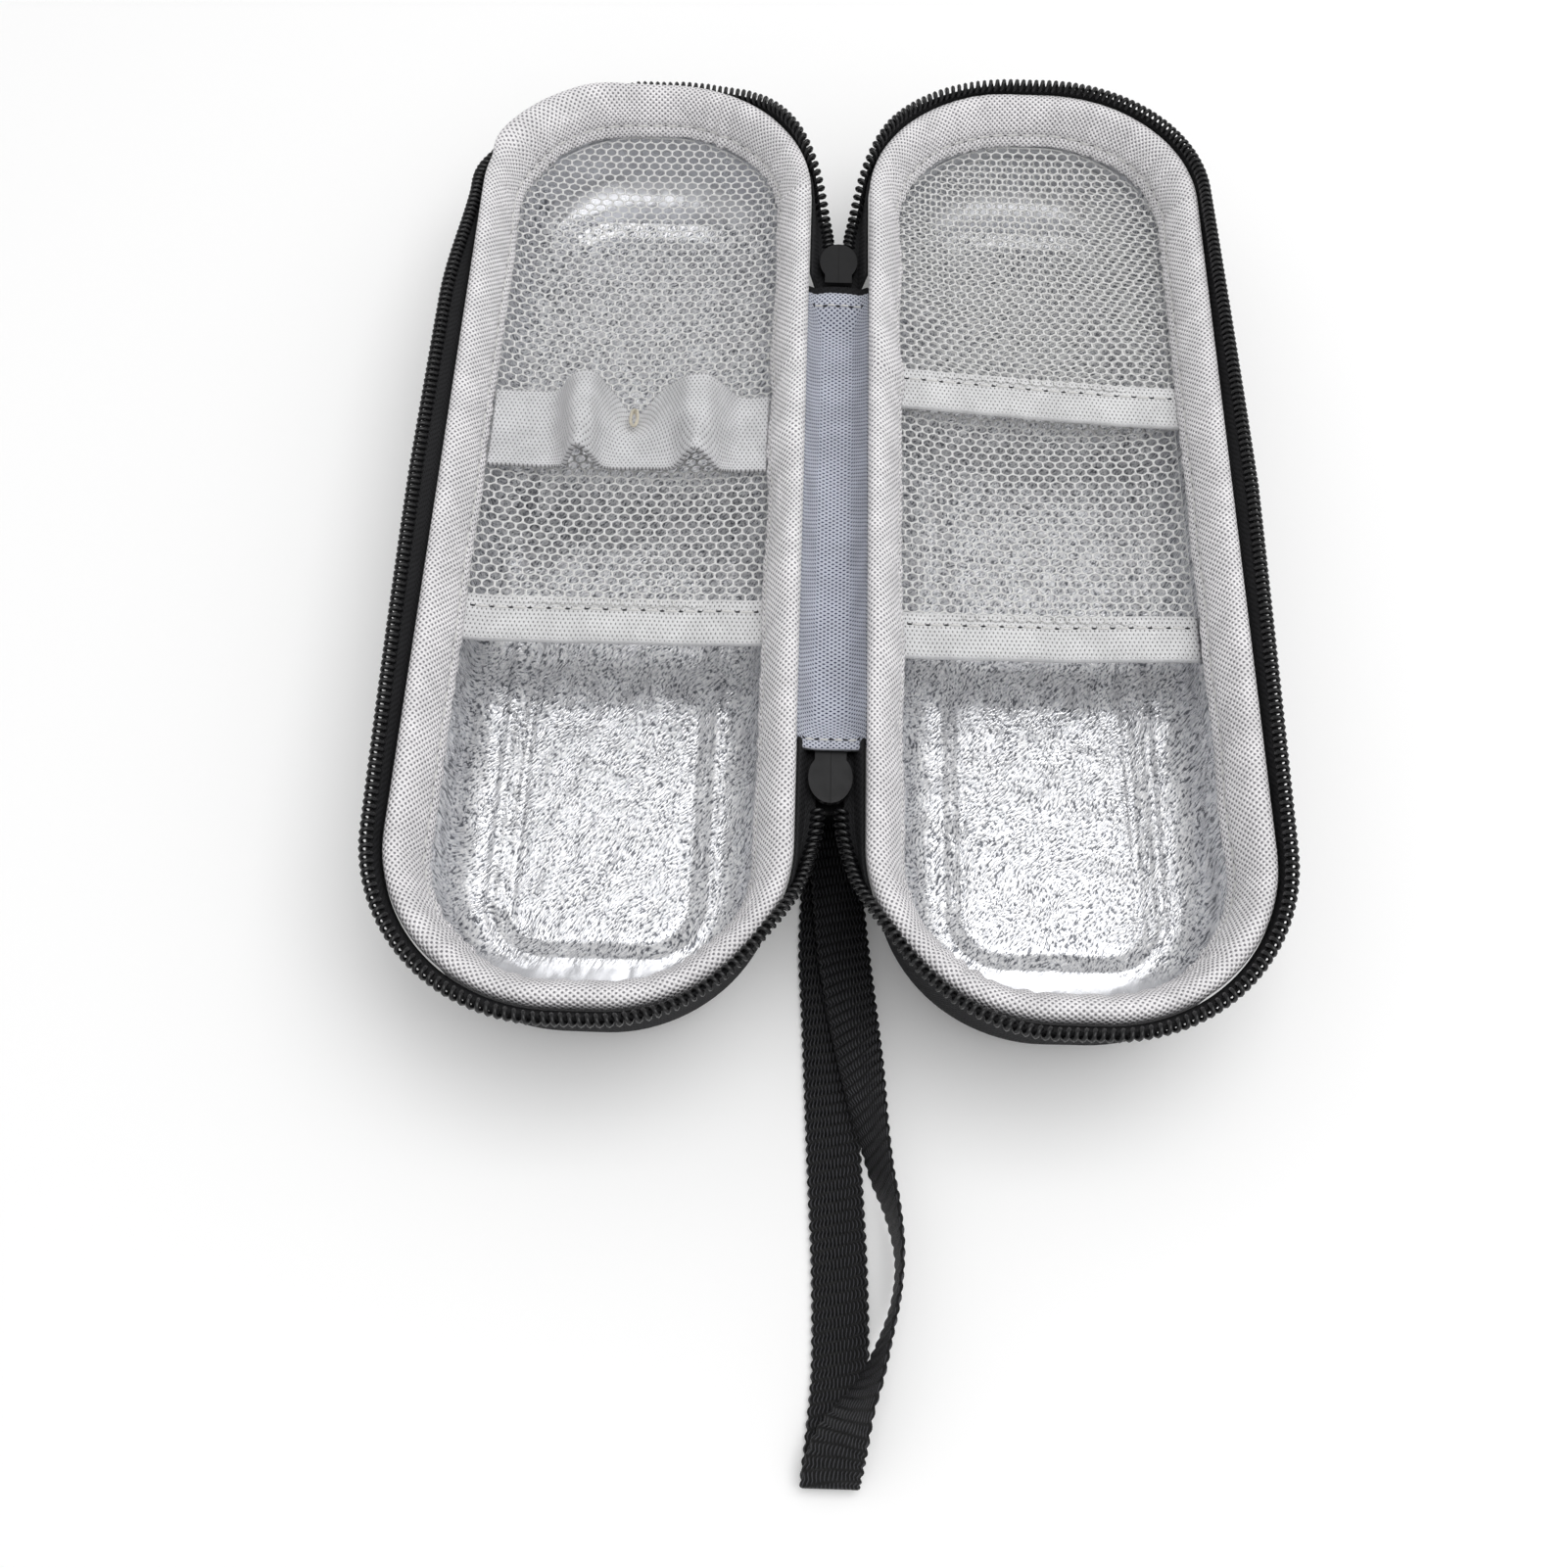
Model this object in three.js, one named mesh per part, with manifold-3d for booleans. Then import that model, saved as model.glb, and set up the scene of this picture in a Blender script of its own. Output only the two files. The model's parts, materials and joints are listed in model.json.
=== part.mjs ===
// Insulated carry case for injection pens, lying open on a table.
// Two foil-lined moulded halves fold shut on a fabric spine and close with a two-slider coil zip.
// Millimetres. X runs across the halves, Y along the spine, Z up. The table is Z = 0.

import * as THREE from "three";
import { mergeVertices } from "three/addons/utils/BufferGeometryUtils.js";
import Module from "manifold-3d";

const wasm = await Module();
wasm.setup();

// Moulded halves
const RIM_LENGTH = 212; // rim of one half, along the spine
const RIM_WIDTH = 68; // rim of one half, across the spine
const RIM_CORNER = 30.5; // plan radius of the rim's corners
const HALF_DEPTH = 27.5; // top of the shell's rim above the table
const WALL_DRAFT = 8; // lean of the side walls, degrees
const BASE_EDGE_RADIUS = 11.5; // rounding between wall and base
const PANEL_INSET = 16.4; // edge of the base panel, in from the rim
const PANEL_RAISE = 1; // how far the panel stands out of the base
const PANEL_STEP = 3.6; // width of the sloping step round the panel
const SHELL_WALL = 2.2;
const FOAM_WALL = 1.5;
const FOIL_WALL = 0.3;
const LAYER_GAP = 0.3; // between any two sewn or nested layers
const FOAM_TOP_DROP = 1; // foam's top edge below the rim
const FOIL_TOP_DROP = 3; // foil's top edge below the rim

// Rim binding
const BINDING_CROWN = 1.6; // crest above the rim
const BINDING_ROUND = 1.2; // width of the rounding on each side of the crest
const BINDING_DROP = 7; // inner hem below the rim
const BINDING_THICK = 0.9;

// Spine
const SPINE_WIDTH = 12.4; // between the two fold lines
const FOLD_DROP = 1.5; // fold lines below the rim
const SPINE_LENGTH = 108.4; // lining and cover, along the spine
const SPINE_SAG = 5.1; // dip of the slack fabric between the fold lines
const LINING_THICK = 0.8;
const COVER_THICK = 1;
const COVER_GAP = 0.6; // upright gap that leaves LAYER_GAP on the steep edges

// Zip
const TAPE_THICK = 0.6;
const TAPE_REACH = 4.5; // sewn line to the middle of the coil
const TUCKED_REACH = 2.6; // the same where the left zip is turned down behind its far outer corner
const TUCKED_LEAN = 100; // its lean there, degrees
const TUCK_START = 80; // place along the spine where that zip starts to turn down
const TUCK_RUN = 18; // length over which it turns down
const TUCK_TURN = [50, 110]; // turn of the rim over which it stays turned down, degrees
const TAPE_BEND = 0.3; // place of the tape's bend, as a share of its reach
const SEW_GAP = 0.55; // sewn line clear of the shell
const COIL_RADIUS = 1.15;
const COIL_ROOT = 0.75; // radius between two teeth
const TOOTH_PITCH = 4;
const SPINE_LEAN = 8; // lean of the tape from upright beside the spine, degrees
const SPINE_TURN = 30; // turn of the rim up to which it keeps that lean, degrees
const NEAR_LEAN = 35; // lean round the near end
const FAR_LEAN = 0; // round the far end
const SIDE_LEAN = 16; // along the outer side
const FAR_SIDE_LEAN = 7; // at the far end of the outer side
const PART_RUN = 14; // length over which the coils part beyond a slider
const RISE_START = 4; // slider's mouth to where the tape starts to rise
const RISE_RUN = 24; // length over which the tape rises to the rim
const PARTED_SPREAD = 7; // between the two coils once they have parted
const PARTED_KNEE = 10.8; // width of the flat tape there

// Sliders
const SLIDER_LENGTH = 10.8;
const SLIDER_HEAD = 7.7; // width of the round head
const SLIDER_HEAD_REACH = 5; // widest place of the head to the mouth
const SLIDER_TAIL = 5.5; // width at the tail
const SLIDER_PLATE = 0.9;
const SLIDER_CHANNEL = 2.8; // clear height between the plates
const SLIDER_DIP = 5.2; // middle of the channel below the fold lines
const SLIDER_TAIL_GAP = 0.8; // spine lining to the slider's tail
const SLIDER_RUN_GAP = 0.4; // slider's mouth to the loose tape ends
const POST_WIDTH = 1.2;
const POST_LENGTH = 2;
const POST_FROM_MOUTH = 1.2;
const FLANGE_LENGTH = 5;
const FLANGE_THICK = 0.6;
const FLANGE_SLOT = 1.3; // slot for the tape between the flanges
const CHAIN_WIDTH = 3.4; // two joined coils
const CHAIN_HEIGHT = 0.8;
const COIL_SPREAD = 4.2; // between the two coils at the mouth
const TAPE_KNEE = 8.5; // width of the flat tape that passes through the slider

// Pull tabs
const BRIDGE_LENGTH = 5;
const BRIDGE_DEPTH = 2.5;
const BRIDGE_BAR = 0.7;
const BRIDGE_WIDTH = 1.6;
const PULL_LENGTH = 12; // swing axis to the tip
const PULL_WIDTH = 5;
const PULL_TIP_WIDTH = 4;
const PULL_THICK = 1;
const PULL_WINDOW_WIDTH = 2.8;
const PULL_WINDOW_LENGTH = 3.4;
const PULL_BAR = 1;

// Pockets
const BAND_WIDTH = 9.9; // straight elastics
const BAND_THICK = 1.3;
const LEFT_BAND_Y = -27;
const RIGHT_UPPER_BAND_Y = 29;
const RIGHT_UPPER_SLANT = -0.065; // rise of that elastic along Y for each step across
const RIGHT_LOWER_BAND_Y = -26.3;
const POCKET_DROP = 2.6; // lower right pocket below the upper one
const NET_THICK = 0.6;
const NET_PITCH = 10;
const NET_HOLE_RADIUS = 4.7;
const NET_MARGIN = 1.2; // plain edge round the net

// Pen loops
const LOOP_BAND_WIDTH = 20;
const LOOP_BAND_THICK = 0.9;
const LOOP_BAND_Y = 16.5;
const LOOP_PITCH = 22;
const LOOP_OFFSET = 2.4; // middle of the two loops from the middle of the half, toward the spine
const LOOP_TOP = 3; // width of a loop's flat crest
const LOOP_SLOPE = 6; // width of the slope on each side of it
const LOOP_HEIGHT = 8;

// Wrist strap: flat webbing, sewn under the spine at both ends
const STRAP_WIDTH = 9.5;
const STRAP_THICK = 0.9;
// Middle of the webbing [x, y, z] and the tilt of its width, degrees: out along the table, fold, and back
const STRAP_ROUTE = [
  [0, -24, 15.6, 0], [0, -33, 15.5, 0], [0.2, -38.5, 13.4, 0], [0.4, -43, 9, 0],
  [0.6, -47.5, 4.2, 0], [0.6, -53, 1.5, 0], [0.4, -60, 0.8, 0], [0.1, -72, 0.75, 0],
  [0, -84, 0.75, 0], [0.8, -97, 0.75, 0], [1.6, -111, 0.75, 0], [2.4, -125, 0.75, 0],
  [3.3, -140, 0.75, 0], [3.6, -155, 0.75, 0], [3, -164, 0.75, 0], [2.3, -171, 0.8, 0],
  [2.2, -172.7, 2, 0], [2.5, -171, 3.3, 4], [3.5, -167.5, 4.6, 22], [5.5, -163, 6.2, 45],
  [8, -158, 6.7, 64], [10.2, -152, 6.2, 78], [12.2, -145, 5.5, 86], [12.8, -138, 5.3, 87],
  [11.7, -131, 5.4, 80], [9.9, -125, 5.8, 70], [8.4, -118, 6.5, 60], [7, -110, 6.4, 46],
  [5.2, -99, 5.2, 30], [3.2, -85, 4.5, 13], [2, -72, 4.4, 4], [1.6, -62, 4.4, 0],
  [1.3, -56, 4.9, 0], [1, -51, 6.8, 0], [0.8, -46.8, 10.6, 0], [0.5, -42.5, 14.6, 0],
  [0.2, -38, 16.9, 0], [0, -33, 17.3, 0], [0, -24, 17.3, 0],
];
const STRAP_STEPS = 78;

// Fineness of the facets
const CORNER_STEPS = 6;
const BASE_STEPS = 4;
const TAPE_STEPS = 72;
const TROUGH_STEPS = 10;
const LOOP_STEPS = 30;
const HEAD_STEPS = 16;

// Places worked out from the sizes above
const radians = THREE.MathUtils.degToRad;
const { lerp, smoothstep } = THREE.MathUtils;
const draft = radians(WALL_DRAFT);
const halfCentreX = (SPINE_WIDTH + RIM_WIDTH) / 2;
const foldZ = HALF_DEPTH - FOLD_DROP;
const sliderZ = foldZ - SLIDER_DIP;
const foamDepth = SHELL_WALL + LAYER_GAP;
const foilDepth = foamDepth + FOAM_WALL + LAYER_GAP;
const liningDepth = foilDepth + FOIL_WALL;
const sliderTailY = SPINE_LENGTH / 2 + SLIDER_TAIL_GAP;
const zipStartY = sliderTailY + SLIDER_LENGTH + SLIDER_RUN_GAP;
const bindingHemZ = HALF_DEPTH - BINDING_DROP;
const pocketZ = bindingHemZ - LAYER_GAP - BAND_THICK / 2;
const lowerPocketZ = pocketZ - POCKET_DROP;
const baseArc = {
  inset: (HALF_DEPTH - PANEL_RAISE - BASE_EDGE_RADIUS * (1 - Math.sin(draft))) * Math.tan(draft)
    + BASE_EDGE_RADIUS * Math.cos(draft),
  z: PANEL_RAISE + BASE_EDGE_RADIUS,
};

// Finishes
function finish(color, roughness, metalness = 0) {
  return new THREE.MeshStandardMaterial({ color, roughness, metalness });
}

const BLACK_FABRIC = [0x17171a, 0.9];
const WHITE_FOAM = [0xe8e8e4, 0.8];
const SILVER_FOIL = [0xc9cbcd, 0.3, 0.9];
const PALE_BINDING = [0xc9c6c0, 0.85];
const WHITE_NET = [0xe6e5e1, 0.8];
const WHITE_ELASTIC = [0xdddbd5, 0.85];
const GREY_LINING = [0xaeb3b8, 0.85];
const BLACK_COIL = [0x0f0f11, 0.45];
const DARK_METAL = [0x3b3c40, 0.45, 0.6];

// Joins rings of equal count into one closed skin, capped at both ends or looped round on itself.
function loft(rings, looped = false) {
  const count = rings[0].length;
  const points = rings.flat();
  const triangles = [];
  const bands = looped ? rings.length : rings.length - 1;
  for (let k = 0; k < bands; k += 1) {
    const low = k * count;
    const high = ((k + 1) % rings.length) * count;
    for (let j = 0; j < count; j += 1) {
      const next = (j + 1) % count;
      triangles.push(low + j, low + next, high + next, low + j, high + next, high + j);
    }
  }
  if (!looped) {
    const last = (rings.length - 1) * count;
    for (let j = 1; j < count - 1; j += 1) {
      triangles.push(0, j + 1, j, last, last + j, last + j + 1);
    }
  }
  const geometry = new THREE.BufferGeometry().setFromPoints(points);
  geometry.setIndex(triangles);
  return faceOutward(geometry);
}

// Turns every triangle round if the skin encloses a negative volume.
function faceOutward(geometry) {
  const position = geometry.getAttribute("position");
  const index = geometry.index.array;
  const corner = (k) => new THREE.Vector3().fromBufferAttribute(position, index[k]);
  let volume = 0;
  for (let k = 0; k < index.length; k += 3) {
    volume += corner(k).dot(corner(k + 1).cross(corner(k + 2)));
  }
  if (volume < 0) {
    geometry.setIndex([...index].reverse());
  }
  return geometry;
}

// Boolean work on closed geometries
function toSolid(geometry) {
  const bare = geometry.clone();
  bare.deleteAttribute("normal");
  bare.deleteAttribute("uv");
  const merged = mergeVertices(bare, 1e-4);
  return new wasm.Manifold(new wasm.Mesh({
    numProp: 3,
    vertProperties: new Float32Array(merged.getAttribute("position").array),
    triVerts: new Uint32Array(merged.index.array),
  }));
}

function toGeometry(solid) {
  const mesh = solid.getMesh();
  const geometry = new THREE.BufferGeometry();
  geometry.setAttribute("position", new THREE.BufferAttribute(mesh.vertProperties, 3));
  geometry.setIndex(new THREE.BufferAttribute(mesh.triVerts, 1));
  return geometry;
}

function join(geometries) {
  const [first, ...rest] = geometries.map(toSolid);
  return toGeometry(rest.reduce((solid, other) => solid.add(other), first));
}

function cut(geometry, tools) {
  return toGeometry(tools.map(toSolid).reduce((solid, tool) => solid.subtract(tool), toSolid(geometry)));
}

function extrude(shape, depth) {
  return new THREE.ExtrudeGeometry(shape, { depth, bevelEnabled: false, curveSegments: HEAD_STEPS });
}

// A section drawn in X and Z, drawn out along Y from one place to another
function extrudeAlongY(shape, fromY, toY) {
  return extrude(shape, toY - fromY).rotateX(Math.PI / 2).translate(0, toY, 0);
}

function outlineShape(points) {
  return new THREE.Shape(points.map(([x, y]) => new THREE.Vector2(x, y)));
}

// The rim's plan outline about its own centre, drawn in by inset
function rimRing(inset, z) {
  const corner = RIM_CORNER - inset;
  const sideX = RIM_WIDTH / 2 - RIM_CORNER;
  const endY = RIM_LENGTH / 2 - RIM_CORNER;
  const centres = [[sideX, endY], [-sideX, endY], [-sideX, -endY], [sideX, -endY]];
  return centres.flatMap(([x, y], quarter) => {
    const arc = [];
    for (let i = 0; i <= CORNER_STEPS; i += 1) {
      const angle = (quarter + i / CORNER_STEPS) * Math.PI / 2;
      arc.push(new THREE.Vector3(x + corner * Math.cos(angle), y + corner * Math.sin(angle), z));
    }
    return arc;
  });
}

// How far a layer's wall stands in from the rim at one height
function wallInset(depth, z) {
  return depth / Math.cos(draft) + (HALF_DEPTH - z) * Math.tan(draft);
}

// Rings of one skin of the half, from the base panel up to its top edge
function skinRings(depth, topZ) {
  const rings = [
    rimRing(PANEL_INSET + PANEL_STEP / 2, depth),
    rimRing(PANEL_INSET - PANEL_STEP / 2, PANEL_RAISE + depth),
  ];
  const radius = BASE_EDGE_RADIUS - depth;
  for (let i = 0; i <= BASE_STEPS; i += 1) {
    const angle = (i / BASE_STEPS) * (Math.PI / 2 - draft);
    rings.push(rimRing(baseArc.inset - radius * Math.sin(angle), baseArc.z - radius * Math.cos(angle)));
  }
  rings.push(rimRing(wallInset(depth, topZ), topZ));
  return rings;
}

// One moulded layer: its outer skin, its top edge and its inner skin
function mouldedLayer(depth, thickness, topZ) {
  return loft([...skinRings(depth, topZ), ...skinRings(depth + thickness, topZ).reverse()]);
}

// Binding folded over the rim: a rounded crest, and a hem down the inside of the lining
function bindingBand() {
  const crestZ = HALF_DEPTH + BINDING_CROWN;
  const seatZ = HALF_DEPTH + LAYER_GAP;
  const shoulder = wallInset(liningDepth, HALF_DEPTH) + LAYER_GAP;
  const hem = wallInset(liningDepth, bindingHemZ) + LAYER_GAP;
  const section = [
    [0, seatZ],
    [0, (seatZ + crestZ) / 2],
    [BINDING_ROUND, crestZ],
    [shoulder - BINDING_ROUND, crestZ],
    [shoulder + BINDING_THICK / 2, HALF_DEPTH],
    [hem + BINDING_THICK, bindingHemZ],
    [hem, bindingHemZ],
    [shoulder, HALF_DEPTH - FOAM_TOP_DROP],
    [shoulder - BINDING_THICK / 2, seatZ],
  ];
  return loft(section.map(([inset, z]) => rimRing(inset, z)), true);
}

// Plan curve along the right half's rim, from one end of the spine round the outer side to the other
function zipCurve() {
  const innerX = SPINE_WIDTH / 2;
  const outerX = innerX + RIM_WIDTH;
  const nearX = innerX + RIM_CORNER;
  const farX = outerX - RIM_CORNER;
  const endY = RIM_LENGTH / 2;
  const sideY = endY - RIM_CORNER;
  const line = (x0, y0, x1, y1) => new THREE.LineCurve(new THREE.Vector2(x0, y0), new THREE.Vector2(x1, y1));
  const corner = (x, y, quarter) => new THREE.EllipseCurve(
    x, y, RIM_CORNER, RIM_CORNER, quarter * Math.PI / 2, (quarter + 1) * Math.PI / 2,
  );
  const path = new THREE.CurvePath();
  path.add(line(innerX, -zipStartY, innerX, -sideY));
  path.add(corner(nearX, -sideY, 2));
  path.add(line(nearX, -endY, farX, -endY));
  path.add(corner(farX, -sideY, 3));
  path.add(line(outerX, -sideY, outerX, sideY));
  path.add(corner(farX, sideY, 0));
  path.add(line(farX, endY, nearX, endY));
  path.add(corner(nearX, sideY, 1));
  path.add(line(innerX, sideY, innerX, zipStartY));
  return path;
}

const zipPath = zipCurve();

// Lean of the tape from upright, from the place along the spine and the turn of the rim away from the spine
function tapeLean(y, turn) {
  const endLean = y < 0 ? NEAR_LEAN : FAR_LEAN;
  if (turn < 90) {
    return radians(lerp(SPINE_LEAN, endLean, smoothstep(turn, SPINE_TURN, 90)));
  }
  const sideLean = lerp(SIDE_LEAN, FAR_SIDE_LEAN, smoothstep(y, 0, RIM_LENGTH / 2 - RIM_CORNER));
  return radians(lerp(endLean, sideLean, smoothstep(turn, 90, 180)));
}

// Section of the zip at one place: sewn edge, knee and coil, with the directions along and through the tape.
// It lies in the slider at the spine, parts and rises beyond it, and stands along the rim.
function zipSection(share, turnedDown) {
  const plan = zipPath.getPoint(share);
  const tangent = zipPath.getTangent(share);
  const out = new THREE.Vector3(tangent.y, -tangent.x, 0).normalize();
  const turn = THREE.MathUtils.radToDeg(Math.acos(THREE.MathUtils.clamp(-out.x, -1, 1)));
  const fromSlider = Math.abs(plan.y) - zipStartY;
  const parted = smoothstep(fromSlider, 0, PART_RUN);
  const risen = turn < 90 ? smoothstep(fromSlider, RISE_START, RISE_START + RISE_RUN) : 1;
  const atCorner = smoothstep(turn, ...TUCK_TURN) * smoothstep(plan.y, TUCK_START, TUCK_START + TUCK_RUN);
  const tucked = turnedDown ? atCorner : 0;
  const lean = lerp(tapeLean(plan.y, turn), radians(TUCKED_LEAN), tucked);
  const reach = lerp(TAPE_REACH, TUCKED_REACH, tucked);
  const base = new THREE.Vector3(plan.x, plan.y, foldZ).addScaledVector(out, SEW_GAP);
  const place = (outward, up) => base.clone().addScaledVector(out, outward).add(new THREE.Vector3(0, 0, up));
  const standing = place(reach * Math.sin(lean), reach * Math.cos(lean));
  const dipped = place((SPINE_WIDTH - lerp(COIL_SPREAD, PARTED_SPREAD, parted)) / 2 - SEW_GAP, -SLIDER_DIP);
  const kneeUp = base.clone().lerp(standing, TAPE_BEND);
  const kneeDipped = place((SPINE_WIDTH - lerp(TAPE_KNEE, PARTED_KNEE, parted)) / 2 - SEW_GAP, -SLIDER_DIP);
  const coil = dipped.lerp(standing, risen);
  const knee = kneeDipped.lerp(kneeUp, risen);
  const along = coil.clone().sub(knee).normalize();
  const through = along.clone().cross(new THREE.Vector3(tangent.x, tangent.y, 0)).normalize();
  const edge = coil.clone().addScaledVector(along, -COIL_RADIUS - LAYER_GAP);
  return { base, knee, edge, coil, along, through, tangent };
}

function zipTape(turnedDown) {
  const rings = [];
  for (let i = 0; i <= TAPE_STEPS; i += 1) {
    const { base, knee, edge, through, tangent } = zipSection(i / TAPE_STEPS, turnedDown);
    const forward = new THREE.Vector3(tangent.x, tangent.y, 0).normalize();
    const lower = knee.clone().sub(base).normalize().cross(forward).normalize();
    const bend = lower.clone().add(through).normalize();
    const side = (point, normal, sign) => point.clone().addScaledVector(normal, sign * TAPE_THICK / 2);
    rings.push([
      side(base, lower, 1), side(knee, bend, 1), side(edge, through, 1),
      side(edge, through, -1), side(knee, bend, -1), side(base, lower, -1),
    ]);
  }
  return loft(rings);
}

// Coil with its teeth: the bead swells and narrows once for each tooth
function zipCoil(turnedDown) {
  const teeth = Math.round(zipPath.getLength() / TOOTH_PITCH);
  const rings = [];
  for (let i = 0; i <= 2 * teeth; i += 1) {
    const { coil, along, through } = zipSection(i / (2 * teeth), turnedDown);
    const radius = i % 2 === 0 ? COIL_ROOT : COIL_RADIUS;
    rings.push([[1, 0], [0, 1], [-1, 0], [0, -1]].map(([a, t]) => coil.clone()
      .addScaledVector(along, a * radius)
      .addScaledVector(through, t * radius)));
  }
  return loft(rings);
}

// Slack fabric hanging between the fold lines
function spineTrough(dropAtEdge, thickness) {
  const halfWidth = SPINE_WIDTH / 2 - LAYER_GAP;
  const top = [];
  for (let i = 0; i <= TROUGH_STEPS; i += 1) {
    const x = lerp(-halfWidth, halfWidth, i / TROUGH_STEPS);
    top.push([x, foldZ - dropAtEdge - SPINE_SAG * (1 - (x / halfWidth) ** 2)]);
  }
  const bottom = top.map(([x, z]) => [x, z - thickness]).reverse();
  return extrudeAlongY(outlineShape([...bottom, ...top]), -SPINE_LENGTH / 2, SPINE_LENGTH / 2);
}

// Joined end of the zip beyond the slider's post: flat tape through the slider, sides up to the fold lines
function zipEnd() {
  const edgeX = SPINE_WIDTH / 2 - LAYER_GAP;
  const edgeZ = foldZ - LAYER_GAP;
  const kneeX = TAPE_KNEE / 2;
  const chainX = CHAIN_WIDTH / 2;
  const topZ = sliderZ + TAPE_THICK / 2;
  const bottomZ = sliderZ - TAPE_THICK / 2;
  const right = [[kneeX, bottomZ], [edgeX, edgeZ], [edgeX - TAPE_THICK, edgeZ], [kneeX - TAPE_THICK, topZ],
    [chainX, topZ], [chainX, topZ + CHAIN_HEIGHT]];
  const left = right.map(([x, z]) => [-x, z]).reverse();
  const endY = zipStartY - SLIDER_RUN_GAP - LAYER_GAP;
  const tape = extrudeAlongY(outlineShape([...right, ...left]), SPINE_LENGTH / 2 + LAYER_GAP, endY);
  const postStartY = sliderTailY + SLIDER_LENGTH - POST_FROM_MOUTH - POST_LENGTH;
  const notchStartY = postStartY - LAYER_GAP;
  const notch = new THREE.BoxGeometry(CHAIN_WIDTH + 4 * LAYER_GAP, 2 * (endY - notchStartY), SLIDER_CHANNEL)
    .translate(0, endY, sliderZ);
  return cut(tape, [notch]);
}

// Plan outline of a slider plate: straight-cut tail, waist and round head
function sliderPlate() {
  const headY = SLIDER_LENGTH - SLIDER_HEAD_REACH;
  const waist = Math.acos(SLIDER_TAIL / SLIDER_HEAD);
  const plate = new THREE.Shape();
  plate.moveTo(-SLIDER_TAIL / 2, 0);
  plate.lineTo(SLIDER_TAIL / 2, 0);
  plate.absellipse(0, headY, SLIDER_HEAD / 2, SLIDER_HEAD_REACH, -waist, Math.PI + waist, false, 0);
  plate.closePath();
  return plate;
}

// Two plates joined by a wedge post, with flanges that steer the tape and a bridge for the pull tab
function sliderBody() {
  const channelTop = SLIDER_CHANNEL / 2;
  const overlap = SLIDER_PLATE / 3;
  const plates = [channelTop, -channelTop - SLIDER_PLATE]
    .map((z) => extrude(sliderPlate(), SLIDER_PLATE).translate(0, 0, z));
  const postY = SLIDER_LENGTH - POST_FROM_MOUTH - POST_LENGTH;
  const post = extrude(outlineShape([
    [0, postY], [POST_WIDTH / 2, postY + POST_LENGTH / 2], [0, postY + POST_LENGTH],
    [-POST_WIDTH / 2, postY + POST_LENGTH / 2],
  ]), SLIDER_CHANNEL + 2 * overlap).translate(0, 0, -channelTop - overlap);
  const flangeHeight = (SLIDER_CHANNEL - FLANGE_SLOT) / 2 + overlap;
  const flanges = [-1, 1].flatMap((side) => [-1, 1].map((level) => {
    const middleZ = level * (channelTop + overlap - flangeHeight / 2);
    return new THREE.BoxGeometry(FLANGE_THICK, FLANGE_LENGTH, flangeHeight)
      .translate(side * (SLIDER_TAIL - FLANGE_THICK) / 2, FLANGE_LENGTH / 2, middleZ);
  }));
  return join([...plates, post, ...flanges, sliderBridge(-channelTop - SLIDER_PLATE)]);
}

// Arched bridge under the front plate, open below the plate for the pull tab's bar
function sliderBridge(plateZ) {
  const startY = (SLIDER_LENGTH - BRIDGE_LENGTH) / 2;
  const endY = startY + BRIDGE_LENGTH;
  const rootZ = plateZ + SLIDER_PLATE / 3;
  const footZ = plateZ - BRIDGE_DEPTH;
  const arch = outlineShape([
    [startY, rootZ], [startY, footZ + BRIDGE_BAR], [startY + BRIDGE_BAR, footZ],
    [endY - BRIDGE_BAR, footZ], [endY, footZ + BRIDGE_BAR], [endY, rootZ],
    [endY - BRIDGE_BAR, rootZ], [endY - BRIDGE_BAR, footZ + BRIDGE_BAR],
    [startY + BRIDGE_BAR, footZ + BRIDGE_BAR], [startY + BRIDGE_BAR, rootZ],
  ]);
  return extrude(arch, BRIDGE_WIDTH)
    .applyMatrix4(new THREE.Matrix4().set(0, 0, 1, -BRIDGE_WIDTH / 2, 1, 0, 0, 0, 0, 1, 0, 0, 0, 0, 0, 1));
}

// Pull tab hanging from the bridge: a bar and window at the top, a tapering grip below
function pullTab() {
  const top = PULL_BAR / 2;
  const half = PULL_WIDTH / 2;
  const tip = PULL_TIP_WIDTH / 2;
  const tipY = -PULL_LENGTH + tip;
  const tab = new THREE.Shape();
  tab.moveTo(half, top);
  tab.lineTo(-half, top);
  tab.lineTo(-half, -PULL_BAR - PULL_WINDOW_LENGTH);
  tab.lineTo(-tip, tipY);
  tab.absarc(0, tipY, tip, Math.PI, 2 * Math.PI, false);
  tab.lineTo(half, -PULL_BAR - PULL_WINDOW_LENGTH);
  tab.closePath();
  const window = outlineShape([
    [-PULL_WINDOW_WIDTH / 2, -top], [PULL_WINDOW_WIDTH / 2, -top],
    [PULL_WINDOW_WIDTH / 2, -top - PULL_WINDOW_LENGTH], [-PULL_WINDOW_WIDTH / 2, -top - PULL_WINDOW_LENGTH],
  ]);
  tab.holes.push(window);
  return extrudeAlongY(tab, -PULL_THICK / 2, PULL_THICK / 2);
}

// Half width of the lined cavity at one height, less the clearance for what is sewn into it
function pocketHalfWidth(z) {
  return RIM_WIDTH / 2 - wallInset(liningDepth, z) - LAYER_GAP;
}

// Straight elastic across the cavity, sheared along Y by its slant
function pocketBand(centreY, z, slant = 0) {
  const width = 2 * pocketHalfWidth(z - BAND_THICK / 2);
  return new THREE.BoxGeometry(width, BAND_WIDTH, BAND_THICK)
    .applyMatrix4(new THREE.Matrix4().set(1, 0, 0, 0, slant, 1, 0, centreY, 0, 0, 1, z, 0, 0, 0, 1));
}

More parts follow.
